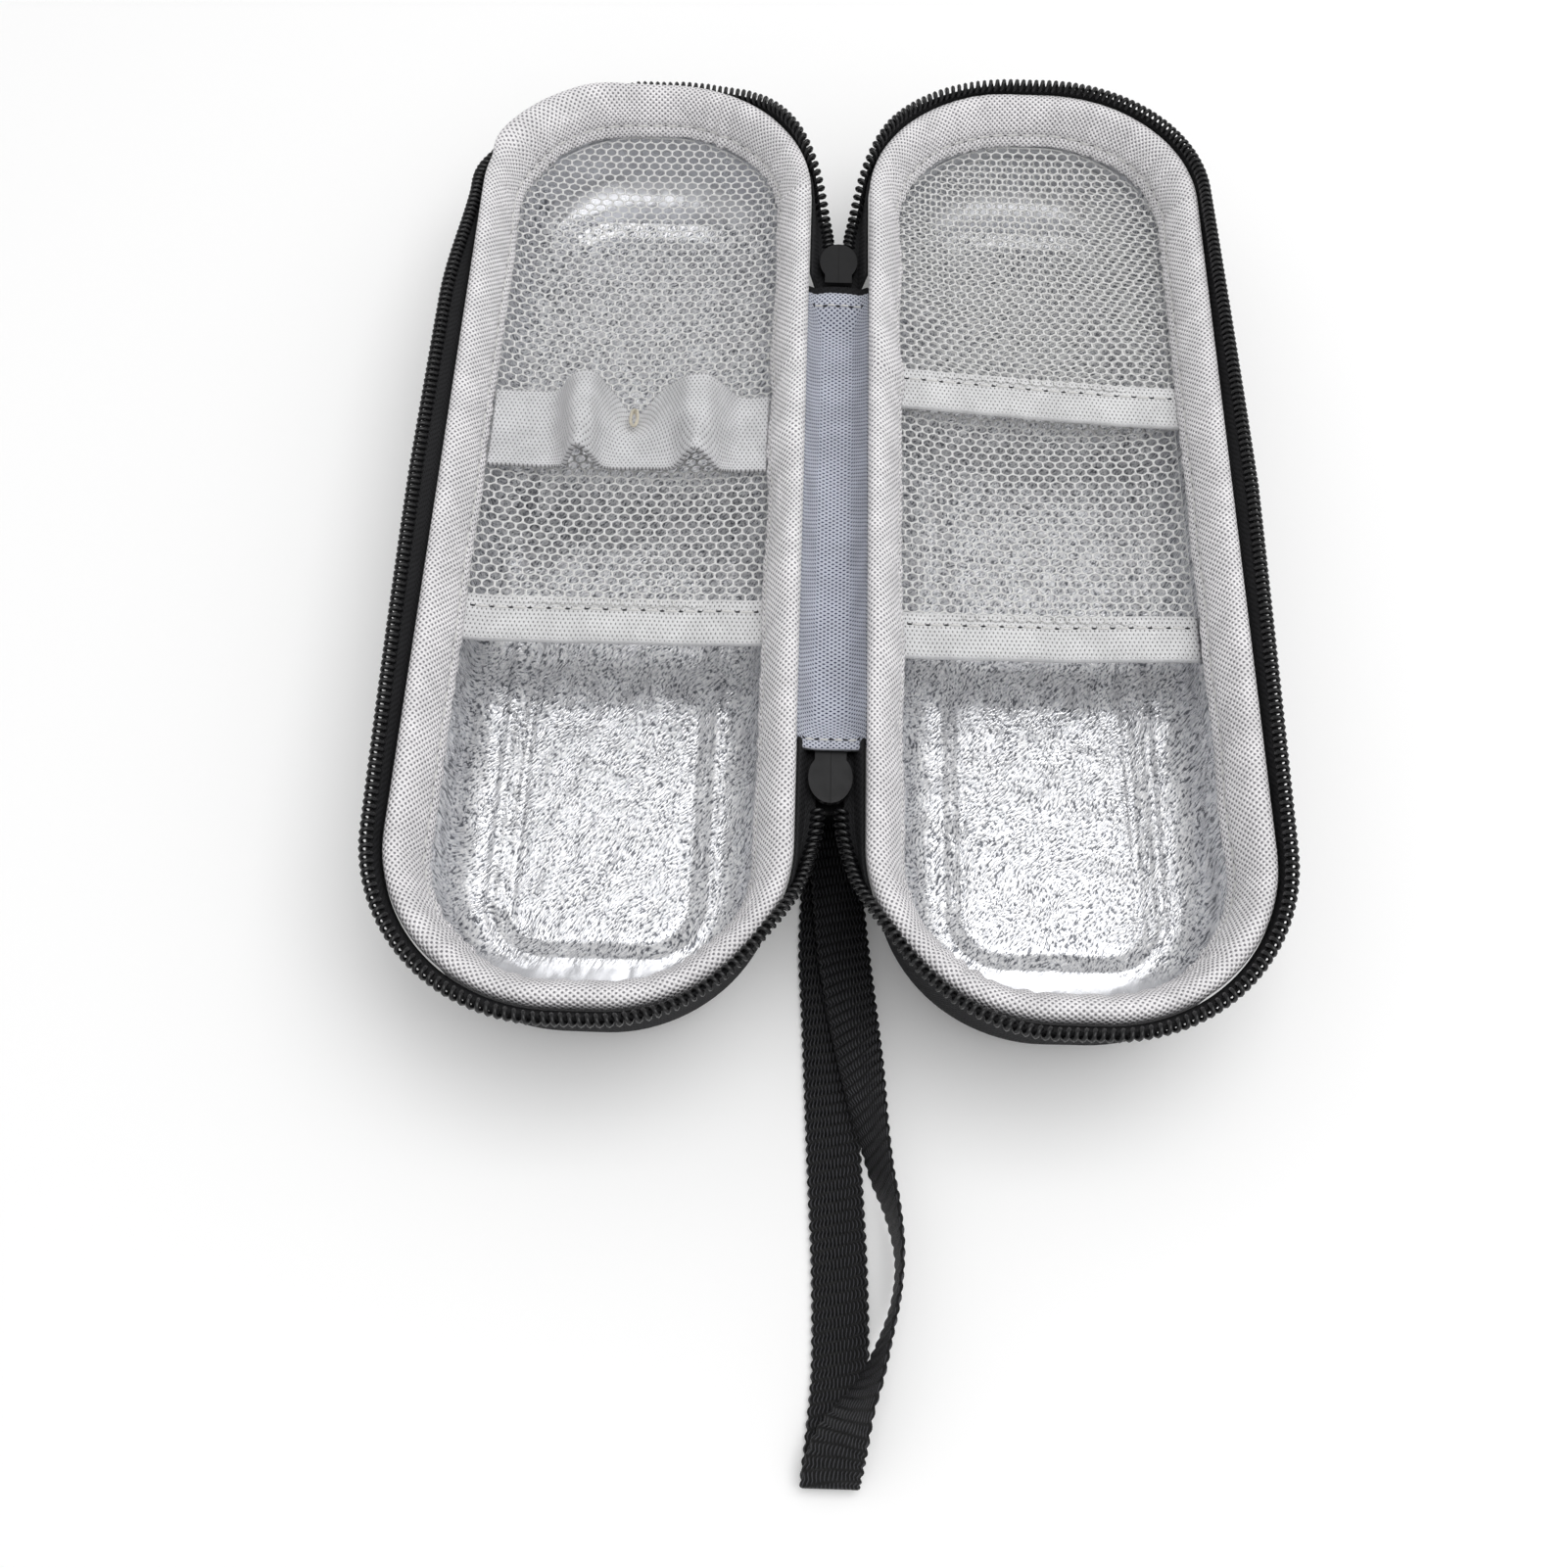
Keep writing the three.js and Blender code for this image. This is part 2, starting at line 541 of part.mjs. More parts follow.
// Flat net from an elastic to the far end of the cavity, with a honeycomb of holes
function pocketNet(bandY, z, slant = 0) {
  const halfWidth = pocketHalfWidth(z - NET_THICK / 2);
  const inset = RIM_WIDTH / 2 - halfWidth;
  const corner = RIM_CORNER - inset;
  const startY = bandY + BAND_WIDTH / 2 + LAYER_GAP;
  const endY = RIM_LENGTH / 2 - inset;
  const arcX = halfWidth - corner;
  const arcY = endY - corner;
  const net = new THREE.Shape();
  net.moveTo(-halfWidth, startY - slant * halfWidth);
  net.lineTo(halfWidth, startY + slant * halfWidth);
  net.absarc(arcX, arcY, corner, 0, Math.PI / 2, false);
  net.absarc(-arcX, arcY, corner, Math.PI / 2, Math.PI, false);
  net.closePath();
  const clear = NET_HOLE_RADIUS + NET_MARGIN;
  const inside = (x, y) => {
    if (Math.abs(x) > halfWidth - clear || y < startY + slant * x + clear || y > endY - clear) {
      return false;
    }
    return y < arcY || Math.abs(x) < arcX || Math.hypot(Math.abs(x) - arcX, y - arcY) < corner - clear;
  };
  const rowStep = NET_PITCH * Math.sqrt(3) / 2;
  const rows = Math.ceil((endY - startY) / rowStep);
  const columns = Math.ceil(halfWidth / NET_PITCH);
  const lowZ = z - NET_THICK / 2;
  const holes = [];
  for (let row = 0; row < rows; row += 1) {
    const y = startY + clear + row * rowStep;
    for (let column = -columns; column <= columns; column += 1) {
      const x = (column + (row % 2) / 2) * NET_PITCH;
      if (inside(x, y)) {
        holes.push(extrude(hexagon(x, y, NET_HOLE_RADIUS), 3 * NET_THICK).translate(0, 0, lowZ - NET_THICK));
      }
    }
  }
  return cut(extrude(net, NET_THICK).translate(0, 0, lowZ), holes);
}

function hexagon(x, y, radius) {
  const points = [];
  for (let i = 0; i < 6; i += 1) {
    const angle = (i + 0.5) * Math.PI / 3;
    points.push([x + radius * Math.cos(angle), y + radius * Math.sin(angle)]);
  }
  return outlineShape(points);
}

// Wide elastic that lies on the net and rises into two pen loops
function penLoopBand() {
  const footZ = pocketZ + NET_THICK / 2 + LAYER_GAP + LOOP_BAND_THICK / 2;
  const hemInset = wallInset(liningDepth, bindingHemZ) + BINDING_THICK + 2 * LAYER_GAP;
  const halfWidth = RIM_WIDTH / 2 - hemInset;
  const rings = [];
  for (let i = 0; i <= LOOP_STEPS; i += 1) {
    const x = lerp(-halfWidth, halfWidth, i / LOOP_STEPS);
    const fromCrest = Math.abs(Math.abs(x - LOOP_OFFSET) - LOOP_PITCH / 2) - LOOP_TOP / 2;
    const rise = LOOP_HEIGHT * (1 - smoothstep(fromCrest, 0, LOOP_SLOPE));
    const nearY = LOOP_BAND_Y - LOOP_BAND_WIDTH / 2;
    const farY = LOOP_BAND_Y + LOOP_BAND_WIDTH / 2;
    const low = footZ + rise - LOOP_BAND_THICK / 2;
    const high = footZ + rise + LOOP_BAND_THICK / 2;
    rings.push([[nearY, low], [farY, low], [farY, high], [nearY, high]]
      .map(([y, z]) => new THREE.Vector3(x, y, z)));
  }
  return loft(rings);
}

// Webbing along its route, with its width turned by the tilt at each place
function wristStrap() {
  const middle = new THREE.CatmullRomCurve3(STRAP_ROUTE.map(([x, y, z]) => new THREE.Vector3(x, y, z)));
  const tilts = new THREE.CatmullRomCurve3(STRAP_ROUTE.map((stop) => new THREE.Vector3(stop[3], 0, 0)));
  const rings = [];
  for (let i = 0; i <= STRAP_STEPS; i += 1) {
    const share = middle.getUtoTmapping(i / STRAP_STEPS);
    const centre = middle.getPoint(share);
    const tilt = radians(tilts.getPoint(share).x);
    const along = middle.getTangent(share);
    const across = new THREE.Vector3(Math.cos(tilt), 0, Math.sin(tilt));
    across.addScaledVector(along, -across.dot(along)).normalize();
    const through = along.clone().cross(across);
    rings.push([[-1, -1], [1, -1], [1, 1], [-1, 1]].map(([a, t]) => centre.clone()
      .addScaledVector(across, a * STRAP_WIDTH / 2)
      .addScaledVector(through, t * STRAP_THICK / 2)));
  }
  return loft(rings);
}

const pullZ = sliderZ - SLIDER_CHANNEL / 2 - SLIDER_PLATE - (BRIDGE_DEPTH - BRIDGE_BAR) / 2;
const pullY = sliderTailY + SLIDER_LENGTH / 2;

const model = new THREE.Group();

function addPiece(parent, name, geometry, look) {
  const mesh = new THREE.Mesh(geometry, finish(...look));
  mesh.name = name;
  parent.add(mesh);
  return mesh;
}

// Moulded halves with their layers and bindings
const halves = {};
for (const [side, sign] of [["left", -1], ["right", 1]]) {
  const half = new THREE.Group();
  half.position.x = sign * halfCentreX;
  model.add(half);
  halves[side] = half;
  addPiece(half, `${side}_shell`, mouldedLayer(0, SHELL_WALL, HALF_DEPTH), BLACK_FABRIC);
  const foam = mouldedLayer(foamDepth, FOAM_WALL, HALF_DEPTH - FOAM_TOP_DROP);
  addPiece(half, `${side}_foam_liner`, foam, WHITE_FOAM);
  const foil = mouldedLayer(foilDepth, FOIL_WALL, HALF_DEPTH - FOIL_TOP_DROP);
  addPiece(half, `${side}_foil_lining`, foil, SILVER_FOIL);
  addPiece(half, `${side}_binding`, bindingBand(), PALE_BINDING);
  const turnedDown = side === "left";
  const tape = addPiece(model, `${side}_zip_tape`, zipTape(turnedDown), BLACK_FABRIC);
  const coil = addPiece(model, `${side}_zip_coil`, zipCoil(turnedDown), BLACK_COIL);
  tape.scale.x = sign;
  coil.scale.x = sign;
}

// Pockets
addPiece(halves.left, "left_net", pocketNet(LEFT_BAND_Y, pocketZ), WHITE_NET);
addPiece(halves.left, "left_elastic", pocketBand(LEFT_BAND_Y, pocketZ), WHITE_ELASTIC);
addPiece(halves.left, "pen_loop_elastic", penLoopBand(), WHITE_ELASTIC);
const upperNet = pocketNet(RIGHT_UPPER_BAND_Y, pocketZ, RIGHT_UPPER_SLANT);
addPiece(halves.right, "right_upper_net", upperNet, WHITE_NET);
const upperBand = pocketBand(RIGHT_UPPER_BAND_Y, pocketZ, RIGHT_UPPER_SLANT);
addPiece(halves.right, "right_upper_elastic", upperBand, WHITE_ELASTIC);
addPiece(halves.right, "right_lower_net", pocketNet(RIGHT_LOWER_BAND_Y, lowerPocketZ), WHITE_NET);
addPiece(halves.right, "right_lower_elastic", pocketBand(RIGHT_LOWER_BAND_Y, lowerPocketZ), WHITE_ELASTIC);

// Spine
addPiece(model, "spine_lining", spineTrough(LAYER_GAP, LINING_THICK), GREY_LINING);
addPiece(model, "spine_cover", spineTrough(LAYER_GAP + LINING_THICK + COVER_GAP, COVER_THICK), BLACK_FABRIC);

// Zip ends, sliders and pull tabs: the far set, and the near set turned half round
for (const [place, turn] of [["far", 0], ["near", Math.PI]]) {
  const end = new THREE.Group();
  end.rotation.z = turn;
  model.add(end);
  addPiece(end, `${place}_zip_end`, zipEnd(), BLACK_FABRIC);
  addPiece(end, `${place}_slider`, sliderBody(), DARK_METAL).position.set(0, sliderTailY, sliderZ);
  addPiece(end, `${place}_pull_tab`, pullTab(), DARK_METAL).position.set(0, pullY, pullZ);
}

addPiece(model, "wrist_strap", wristStrap(), BLACK_FABRIC);

export default model;
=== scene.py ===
"""Looks of an insulated carry case for injection pens, lying open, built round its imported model."""

import json
import math

import bmesh
import bpy
import numpy as np
from mathutils import Matrix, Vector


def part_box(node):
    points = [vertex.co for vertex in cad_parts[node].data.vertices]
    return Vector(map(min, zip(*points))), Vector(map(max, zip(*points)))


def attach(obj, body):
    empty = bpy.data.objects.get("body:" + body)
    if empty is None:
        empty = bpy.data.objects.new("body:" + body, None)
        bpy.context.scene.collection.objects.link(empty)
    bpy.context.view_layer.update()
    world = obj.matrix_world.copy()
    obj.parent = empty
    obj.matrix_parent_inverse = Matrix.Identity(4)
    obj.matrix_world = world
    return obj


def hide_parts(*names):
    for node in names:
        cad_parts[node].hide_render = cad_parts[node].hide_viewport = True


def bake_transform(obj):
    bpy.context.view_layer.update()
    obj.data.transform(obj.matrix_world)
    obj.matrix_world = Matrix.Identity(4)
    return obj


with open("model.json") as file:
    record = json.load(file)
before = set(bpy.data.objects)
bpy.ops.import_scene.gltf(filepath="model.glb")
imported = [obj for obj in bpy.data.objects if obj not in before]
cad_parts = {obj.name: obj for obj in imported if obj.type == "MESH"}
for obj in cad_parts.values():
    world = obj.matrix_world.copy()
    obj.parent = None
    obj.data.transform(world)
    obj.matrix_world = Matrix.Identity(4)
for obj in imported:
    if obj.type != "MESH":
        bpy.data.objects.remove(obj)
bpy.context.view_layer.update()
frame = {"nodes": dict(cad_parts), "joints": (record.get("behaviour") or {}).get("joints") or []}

MM = 0.001  # every size below is in millimetres; meshes are in metres


def node_box(node):
    low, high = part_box(node)
    return np.array(low) / MM, np.array(high) / MM


# Sizes taken from the frame
shell_low, shell_high = node_box("right_shell")
rim_width = shell_high[0] - shell_low[0]
rim_length = shell_high[1] - shell_low[1]
half_depth = shell_high[2]
half_centre = (shell_low[0] + shell_high[0]) / 2
half_x = {"left": -half_centre, "right": half_centre}
lining_low, lining_high = node_box("spine_lining")
slider_low, slider_high = node_box("far_slider")
lid_fold = next(joint for joint in frame["joints"] if joint["name"] == "lid_fold")
fold_x, _, fold_z = (value / MM for value in lid_fold["pos_m"])

# Moulded halves
RIM_CORNER = 30.5
WALL_DRAFT = math.radians(8)
BASE_EDGE_RADIUS = 11.5
PANEL_INSET = 16.4
PANEL_END_INSET = 19.2
PANEL_CORNER = 9.0
PANEL_RAISE = 1.0
PANEL_STEP = 3.6
PANEL_GROOVE = 0.35  # pressed along the inner edge of the step
PANEL_RIDGE = 0.45  # fold of film along its outer edge
PANEL_LINE = 0.5  # half width of both
LEDGE = (13.8, 15.0)  # insets between which the wall passes into the ledge round the panel
SHELL_WALL = 2.2
FOAM_WALL = 1.5
FOIL_WALL = 0.3
LAYER_GAP = 0.3
FOAM_TOP_DROP = 1.0
FOIL_TOP_DROP = 3.0
SHELL_MESH = (2.0, 14, 46)  # step round the rim, and rows of the inner and the outer skin
FOAM_MESH = (3.0, 24, 24)
FOIL_MESH = (0.85, 62, 24)
SHELL_WAVE = (26.0, 0.16)  # wavelength and height of the waviness of the shell's cloth
FILM_BROAD = (8.0, 0.035)  # the same of the broad and of the short wrinkles of the film
FILM_SHORT = (3.2, 0.04)
FILM_SMOOTH = (21, 15)  # distances from a half's end between which the film is drawn smooth
FILM_EDGE = (0.2, 3)  # distances below the film's top edge over which its wrinkles begin
FILM_FLOOR = (0.6, 0.1)  # heights over the ledge between which the lines round the panel begin
SHELL_BASE_FADE = (0.9, 4)  # heights over which the waviness of the shell begins
SHELL_RIM_FADE = (0.3, 4)  # distances below the rim over which it ends
BASE_FACE = 0.8  # over the ledge, up to which the shell counts as its base
SHELL_SEEDS = {"left": 21, "right": 22}
FOIL_SEEDS = {"left": 11, "right": 12}
foam_depth = SHELL_WALL + LAYER_GAP
foil_depth = foam_depth + FOAM_WALL + LAYER_GAP
lining_depth = foil_depth + FOIL_WALL

# Binding: its section as inset from the rim and height over the rim, from the outer edge over the crest
BINDING_SECTION = [
    (-0.1, -0.8), (-0.12, 0.4), (0.35, 1.4), (1.5, 1.85), (2.75, 1.4), (3.85, 0.3), (4.9, -1.3),
    (5.85, -3.3), (6.4, -5.2), (6.75, -6.9), (6.6, -7.3), (6.2, -7.0), (5.8, -5.1), (5.3, -3.0),
    (4.55, -1.0), (2.6, 0.4), (0.9, 0.35), (0.25, 0.1),
]
BINDING_FRONT = 0.58  # share of the section that shows
HEM_STITCH_PLACE = (6.25, -4.7)
GROOVE_DEPTH = 0.4
GROOVE_WIDTH = 0.55
JOIN_AT = {"left": 29.0, "right": 27.0}  # Y of the lap in the binding, on the side by the spine
LAP_THICK = 0.5
LAP_STEP = 0.3  # half length of the step at the lap's edge
LAP_TAIL = (7, 12)  # distances from it between which the lap thins out
PUCKER = (4.6, 0.12)  # wavelength and height of the puckers along the seam
PLEAT = (7.0, 0.08)  # the same of the sharp pleats
PLEAT_SINK = 0.6
CORNER_PLEAT = 0.4  # height added to the pleats round the corners
SWELL = (34.0, 0.18)
CORNER_BULGE = 1.7  # of the binding's outer edge, over the turned-down zip
BULGE_FADE = (1.2, 5.5)  # insets between which that fades out
BINDING_STEP = 0.8
BINDING_POINTS = 48  # round its section
FREE_INSET = (0, 1.2)  # insets over which the tape comes free of the rim
PUCKER_INSET = (0.5, 6.8)  # insets over which the puckers grow to their height
PUCKER_LEAST = 0.2  # their share of it at the outer edge
BINDING_SEEDS = {"left": 31, "right": 32}

# Stitching: length of a stitch, gap, radius and rise of the thread, and half width of a needle hole
BINDING_SEAM = {"length": 2.5, "gap": 0.7, "radius": 0.22, "lift": 0.12, "hole": 0.2}
HEM_SEAM = {"length": 1.6, "gap": 0.9, "radius": 0.22, "lift": 0.12, "hole": 0.36}
BAND_SEAM = {"length": 2.4, "gap": 0.9, "radius": 0.23, "lift": 0.16, "hole": 0.26}

# Zip: leans are from upright, in degrees, and turns are of the rim away from the spine
TAPE_THICK = 0.6
TAPE_STEP = 1.0
TAPE_HIDDEN = 0.4  # from its edge to the middle of the coil
TAPE_REACH = 4.5
TAPE_BEND = 0.3
TUCKED_REACH = 1.2
TUCKED_LEAN = 160
TUCK_TURN = (66, 118)  # over which the zip is turned down, and the run of Y for it
TUCK_SPAN = (73, 92)
DRAW_TURN = (42, 84)  # the same for its drawing in
DRAW_SPAN = (42, 81)
SPINE_LEAN = 8
SPINE_TURN = 30
NEAR_LEAN = 35
FAR_LEAN = 0
# Outer side: near end, middle, far end
SIDE_LEANS = {"left": (24, 58, 40), "right": (16, 36, 8)}
PART_RUN = 14
RISE_START = 4
RISE_RUN = 24
PARTED_SPREAD = 7
PARTED_KNEE = 10.8
SLIDER_RUN_GAP = 0.4
SEW_GAP = 0.55
SLIDER_DIP = 5.2
SLIDER_MOUTH = 2
COIL_SPREAD = 4.2
TAPE_KNEE = 8.5
CHAIN_SPREAD = 1.9  # between the joined coils inside a slider
CHAIN_SHORT = 3.4  # end of the joined coils, short of the slider's
CHAIN_CREST = 0.8
CHAIN_SECTION = [(0.6, 1.15), (1.5, 0.9), (1.75, 0.3), (1.75, -0.3), (0.6, -0.5)]  # right half
CHAIN_WAVE = 0.16
CHAIN_ROWS = 24
COIL_WIDE = 1.0  # half width of the coil along the tape, to the middle of its wire
COIL_HIGH = 0.78
COIL_WIRE = 0.42
COIL_PITCH = 1.38
COIL_STEPS = 10  # places along one turn of the wire
COIL_SIDES = 6
BLEND_TO = 80.0  # |Y| from which it belongs to a half
BLEND_OVER = 3  # length of a zip end past that

# Spine
LINING_FLAT = 3.35  # middle of the spine to the foot of a side
LINING_HEM_FLAT = 4.9  # the same at the hems
LINING_HEM = 9.0  # length over which the lining widens and rises to a hem
LINING_HEM_RISE = 3.7
FAR_HEM_DRAW = 1.7  # of the sides of the far hem, back over a run
FAR_HEM_RUN = 14
FAR_HEM_SHORT = 3.0  # lining's far hem short of its seam
NEAR_HEM_REACH = 1.5  # its near hem, out over the slider's tail
LINING_THICK = 0.7
COVER_THICK = 0.9
COVER_DROP = 1.4  # cover below the lining
LINING_WAVE = 0.16
COVER_WAVE = 0.05
SLACK_LONG = 15.0  # wavelengths of the slack along and across the spine
SLACK_ACROSS = 5.0
SLACK_ACROSS_SHARE = 0.6
SLACK_SEED = 41
LINING_ROWS = 160
COVER_ROWS = 60
SPINE_POINTS = 33  # across the spine
HEM_SEAM_ROWS = {"near": 3, "far": -5}
HEM_SEAM_RUN = slice(4, -4)  # of the points across the spine
SPINE_BED = 0.8
SPINE_CREASE = (0.85, 0.4)  # run and rise of the crease at the foot of a side
SPINE_HOLLOW = 0.1
SHOULDER_INSET = (0.9, 0.6)  # of a side's shoulder, in the middle of the spine and at the hems
SHOULDER_RISE = 0.57  # its share of the side's height

# Pockets
BAND_WIDTH = 9.9
BAND_THICK = 1.3
BAND_SLANT = {"right_upper_elastic": -0.065}
BAND_STITCH = 0.42  # place of the stitching, from the middle of the band (0) to its far edge (1)
# Outline of a band from its near edge (-1) to its far edge (1), and its height in half thicknesses
BAND_UPPER = [
    (-1, 0), (-0.99, 0.8), (-0.95, 1.25), (-0.9, 1.15), (-0.86, 0.8), (-0.5, 1), (0, 1), (BAND_STITCH, 0.9),
    (0.7, 1), (0.94, 0.92), (0.985, 0.6),
]
BAND_LOWER = [(1, 0), (0.985, -0.6), (0.94, -0.92), (0.5, -1), (-0.5, -1), (-0.94, -0.92), (-0.985, -0.6)]
BAND_SWAY = (40.0, 0.3)  # wavelength and height of its sideways sway
BAND_RIPPLE = (9.0, 0.1)
BAND_DIP = 0.9
BAND_TUCK = 0.1  # of its ends, into the walls
BAND_ROWS = 90
BAND_BARE = 3  # rows without stitching at each end
NET_PITCH = 2.4
NET_ROW = 1.75
NET_HOLE = 1.02  # half width of a hole, along a row
NET_THREAD = 0.2  # half thickness of the thread
NET_SAG = 3.0
NET_UNEVEN = (24.0, 0.5)  # wavelength and height of its unevenness
NET_HELD = (2.4, 0.7)  # powers of the sag's fall to the sides and to the ends
NET_SIDES = 12  # of a hole
NET_EDGE = 0.15  # between the net and the wall
NET_LAP = 1.0  # of the net behind its band
NET_SPILL = (0.5, 0.3)  # how far a hole's middle may lie past the sides and the corners
LOOP_THICK = 0.9
LOOP_RISE = 8
LOOP_MESH = (150, 24)  # points along and across the elastic
LOOP_SINK = 0.2
LOOP_TURN = (-1, 0.2)  # places across it between which its near line passes into its far one
LOOP_FAR_PART = (-0.4, 1)  # places across it over which its far edge is drawn in
LOOP_CURL = (0.8, 0.4)  # of its slack edges, in and up
LOOP_RIPPLE = (9.0, 0.12)
LOOP_SEED = 51
# Pen loops: place across the half from its middle, and rise of the elastic, at its far and near edges
LOOP_LINE = [
    (-27, 0.3), (-20.5, 0), (-15, 0.5), (-12, 5.5), (-10, 8), (-7, 8), (-5, 4), (-2.5, 0.5), (0.5, -0.4),
    (4, 0.8), (8, 4.5), (11, 7.5), (13, 8), (15, 8), (17, 6), (20, 1.2), (22, 0), (27, 0.3),
]
LOOP_NEAR_LINE = [
    (-27, 0.3), (-14, 0), (-12.3, 1), (-11, 4.5), (-9.6, 7.6), (-8, 7.6), (-6.2, 4), (-5, 0.8), (-3.5, 0),
    (2, -0.2), (7.5, 0), (9.5, 1.5), (11.2, 5), (12.8, 7.6), (14.2, 7.6), (15.8, 5), (17.4, 1.2), (19, 0),
    (27, 0.3),
]
CREST_DRAW = 2.0  # how far the far edge is drawn in over a loop
TACK_PLACE = (0.7, 19.0)  # across the half from its middle, and Y
TACK_DRAW = 4.4  # how far the far edge of the elastic is drawn in at the tack
TACK_WIDE = 3.4
TACK_SINK = 0.9
TACK_REACH = (0.55, 1.6)  # half width and half length of the loops of thread
TACK_RISE = 0.45  # of the thread's middle over the elastic
TACK_THREAD = 0.26
TACK_TURN = (0.3, 4.3 * math.pi)  # of the thread, from its start to its end
TACK_GROW = 0.03  # of the loops, and of their height, with the turn
TACK_WAVE = (2.5, 0.16)  # waves in a turn, and their height

# Wrist strap: middle of the webbing [x, y, z] and the tilt of its width, degrees
STRAP_WIDTH = 9.5
STRAP_THICK = 0.9
STRAP_RIB = 1.85
STRAP_ROUTE = [
    [0, -24, 15.6, 0], [0, -33, 15.5, 0], [0.2, -38.5, 13.4, 0], [0.4, -43, 9, 0],
    [0.6, -47.5, 4.2, 0], [0.6, -53, 1.5, 0], [0.4, -60, 0.8, 0], [0.1, -72, 0.75, 0],
    [0, -84, 0.75, 0], [0.8, -97, 0.75, 0], [1.6, -111, 0.75, 0], [2.4, -125, 0.75, 0],
    [3.3, -140, 0.75, 0], [3.6, -155, 0.75, 0], [3, -164, 0.75, 0], [2.3, -171, 0.8, 0],
    [2.2, -172.7, 2, 0], [2.5, -171, 3.3, 4], [3.5, -167.5, 4.6, 22], [5.5, -163, 6.2, 45],
    [8, -158, 6.7, 64], [10.2, -152, 6.2, 78], [12.2, -145, 5.5, 86], [12.8, -138, 5.3, 87],
    [11.7, -131, 5.4, 80], [9.9, -125, 5.8, 70], [8.4, -118, 6.5, 60], [7, -110, 6.4, 46],
    [5.2, -99, 5.2, 30], [3.2, -85, 4.5, 13], [2, -72, 4.4, 4], [1.6, -62, 4.4, 0],
    [1.3, -56, 4.9, 0], [1, -51, 6.8, 0], [0.8, -46.8, 10.6, 0], [0.5, -42.5, 14.6, 0],
    [0.2, -38, 16.9, 0], [0, -33, 17.3, 0], [0, -24, 17.3, 0],
]
STRAP_STEP = 0.31  # between two rings of the webbing
STRAP_EDGE_IN = 0.5  # how far the strap's edges lie in between two ribs
STRAP_RIB_OUT = 0.45  # how far a rib stands out from there
STRAP_VALLEY = 0.5  # share of the thickness that is left between two ribs
STRAP_UPPER = [(-1, 0), (-0.97, 0.62), (-0.9, 0.95), (-0.45, 1), (0, 1), (0.45, 1), (0.9, 0.95), (0.97, 0.62)]

# Camera, fitted to the rim outlines, sliders, elastics and strap end in a square picture
CAMERA_PLACE = (-6.95, -206.76, 286.49)
CAMERA_LENS = 40.0
CAMERA_SENSOR = 36.0
CAMERA_AZIMUTH = math.radians(-0.41)
CAMERA_ELEVATION = math.radians(61.27)
CAMERA_ROLL = math.radians(1.28)

# Room
FLOOR_RADIUS = 4000
FLOOR_LIFT = 0.1  # glow that takes the lit floor to white
ROOM_LIGHT = 0.58
KEY_LIGHT = (0.3, -0.02, 1.2), 1.1, 7.5  # place and size in metres, and watts
FILL_LIGHT = (0.45, -0.6, 0.9), 0.8, 1.0
FLOOR_DROP = 0.2
FLOOR_SIDES = 64
EDGE_SOFT = 0.16


# Numbers

def lerp(first, second, share):
    return first + (second - first) * share


def smoothstep(x, low, high):
    share = np.clip((x - low) / (high - low), 0, 1)
    return share * share * (3 - 2 * share)


def ripples(points, wavelength, seed, waves=9, squeeze=(1, 1, 1)):
    """Smooth random relief of about -1 to 1: sine waves of nearby lengths in random directions."""
    random = np.random.default_rng(seed)
    total = np.zeros(points.shape[:-1])
    for _ in range(waves):
        direction = random.normal(size=3)
        direction *= np.array(squeeze) / np.linalg.norm(direction)
        length = wavelength * random.uniform(0.7, 1.5)
        total += np.sin(points @ direction * (2 * math.pi / length) + random.uniform(0, 2 * math.pi))
    return total * math.sqrt(1.2 / waves)


def ring_ripples(lengths, around, wavelength, seed, waves=9):
    """The same along a closed path, so that its two ends meet."""
    random = np.random.default_rng(seed)
    total = np.zeros_like(lengths)
    for _ in range(waves):
        cycles = round(around / (wavelength * random.uniform(0.7, 1.5)))
        total += np.sin(lengths * (2 * math.pi * cycles / around) + random.uniform(0, 2 * math.pi))
    return total * math.sqrt(1.2 / waves)


def looped(points):
    """The points, with the first one again at the end."""
    return np.concatenate([points, points[:1]])


def path_lengths(points):
    steps = np.linalg.norm(np.diff(points, axis=0), axis=1)
    return np.concatenate([[0], np.cumsum(steps)])


def width_map(outline, width):
    """Place across the cloth of each corner of a band, whose outline runs from -1 to 1 and back."""
    steps = np.abs(np.diff(looped(outline[:, 0])))
    return np.concatenate([[0], np.cumsum(steps)]) * width / 2


def follow(points, lengths, wanted):
    """Places at wanted lengths along a line."""
    return np.stack([np.interp(wanted, lengths, points[:, k]) for k in range(points.shape[1])], axis=1)


def resample(points, count):
    """The same line through count points at even steps."""
    lengths = path_lengths(points)
    return follow(points, lengths, np.linspace(0, lengths[-1], count))


def spline(stops, per_span, closed=False):
    """Smooth line through the stops, per_span points for each span."""
    stops = np.array(stops, float)
    if closed:
        stops = np.concatenate([stops[-1:], stops, stops[:2]])
    else:
        stops = np.concatenate([2 * stops[:1] - stops[1:2], stops, 2 * stops[-1:] - stops[-2:-1]])
    share = (np.arange(per_span) / per_span)[:, None]
    runs = []
    for a, b, c, d in zip(stops, stops[1:], stops[2:], stops[3:]):
        cubic = 2 * a - 5 * b + 4 * c - d + share * (3 * (b - c) + d - a)
        runs.append(b + 0.5 * share * (c - a + share * cubic))
    if not closed:
        runs.append(stops[-2:-1])
    return np.concatenate(runs)


def unit(vectors):
    return vectors / np.linalg.norm(vectors, axis=-1, keepdims=True)


# Meshes

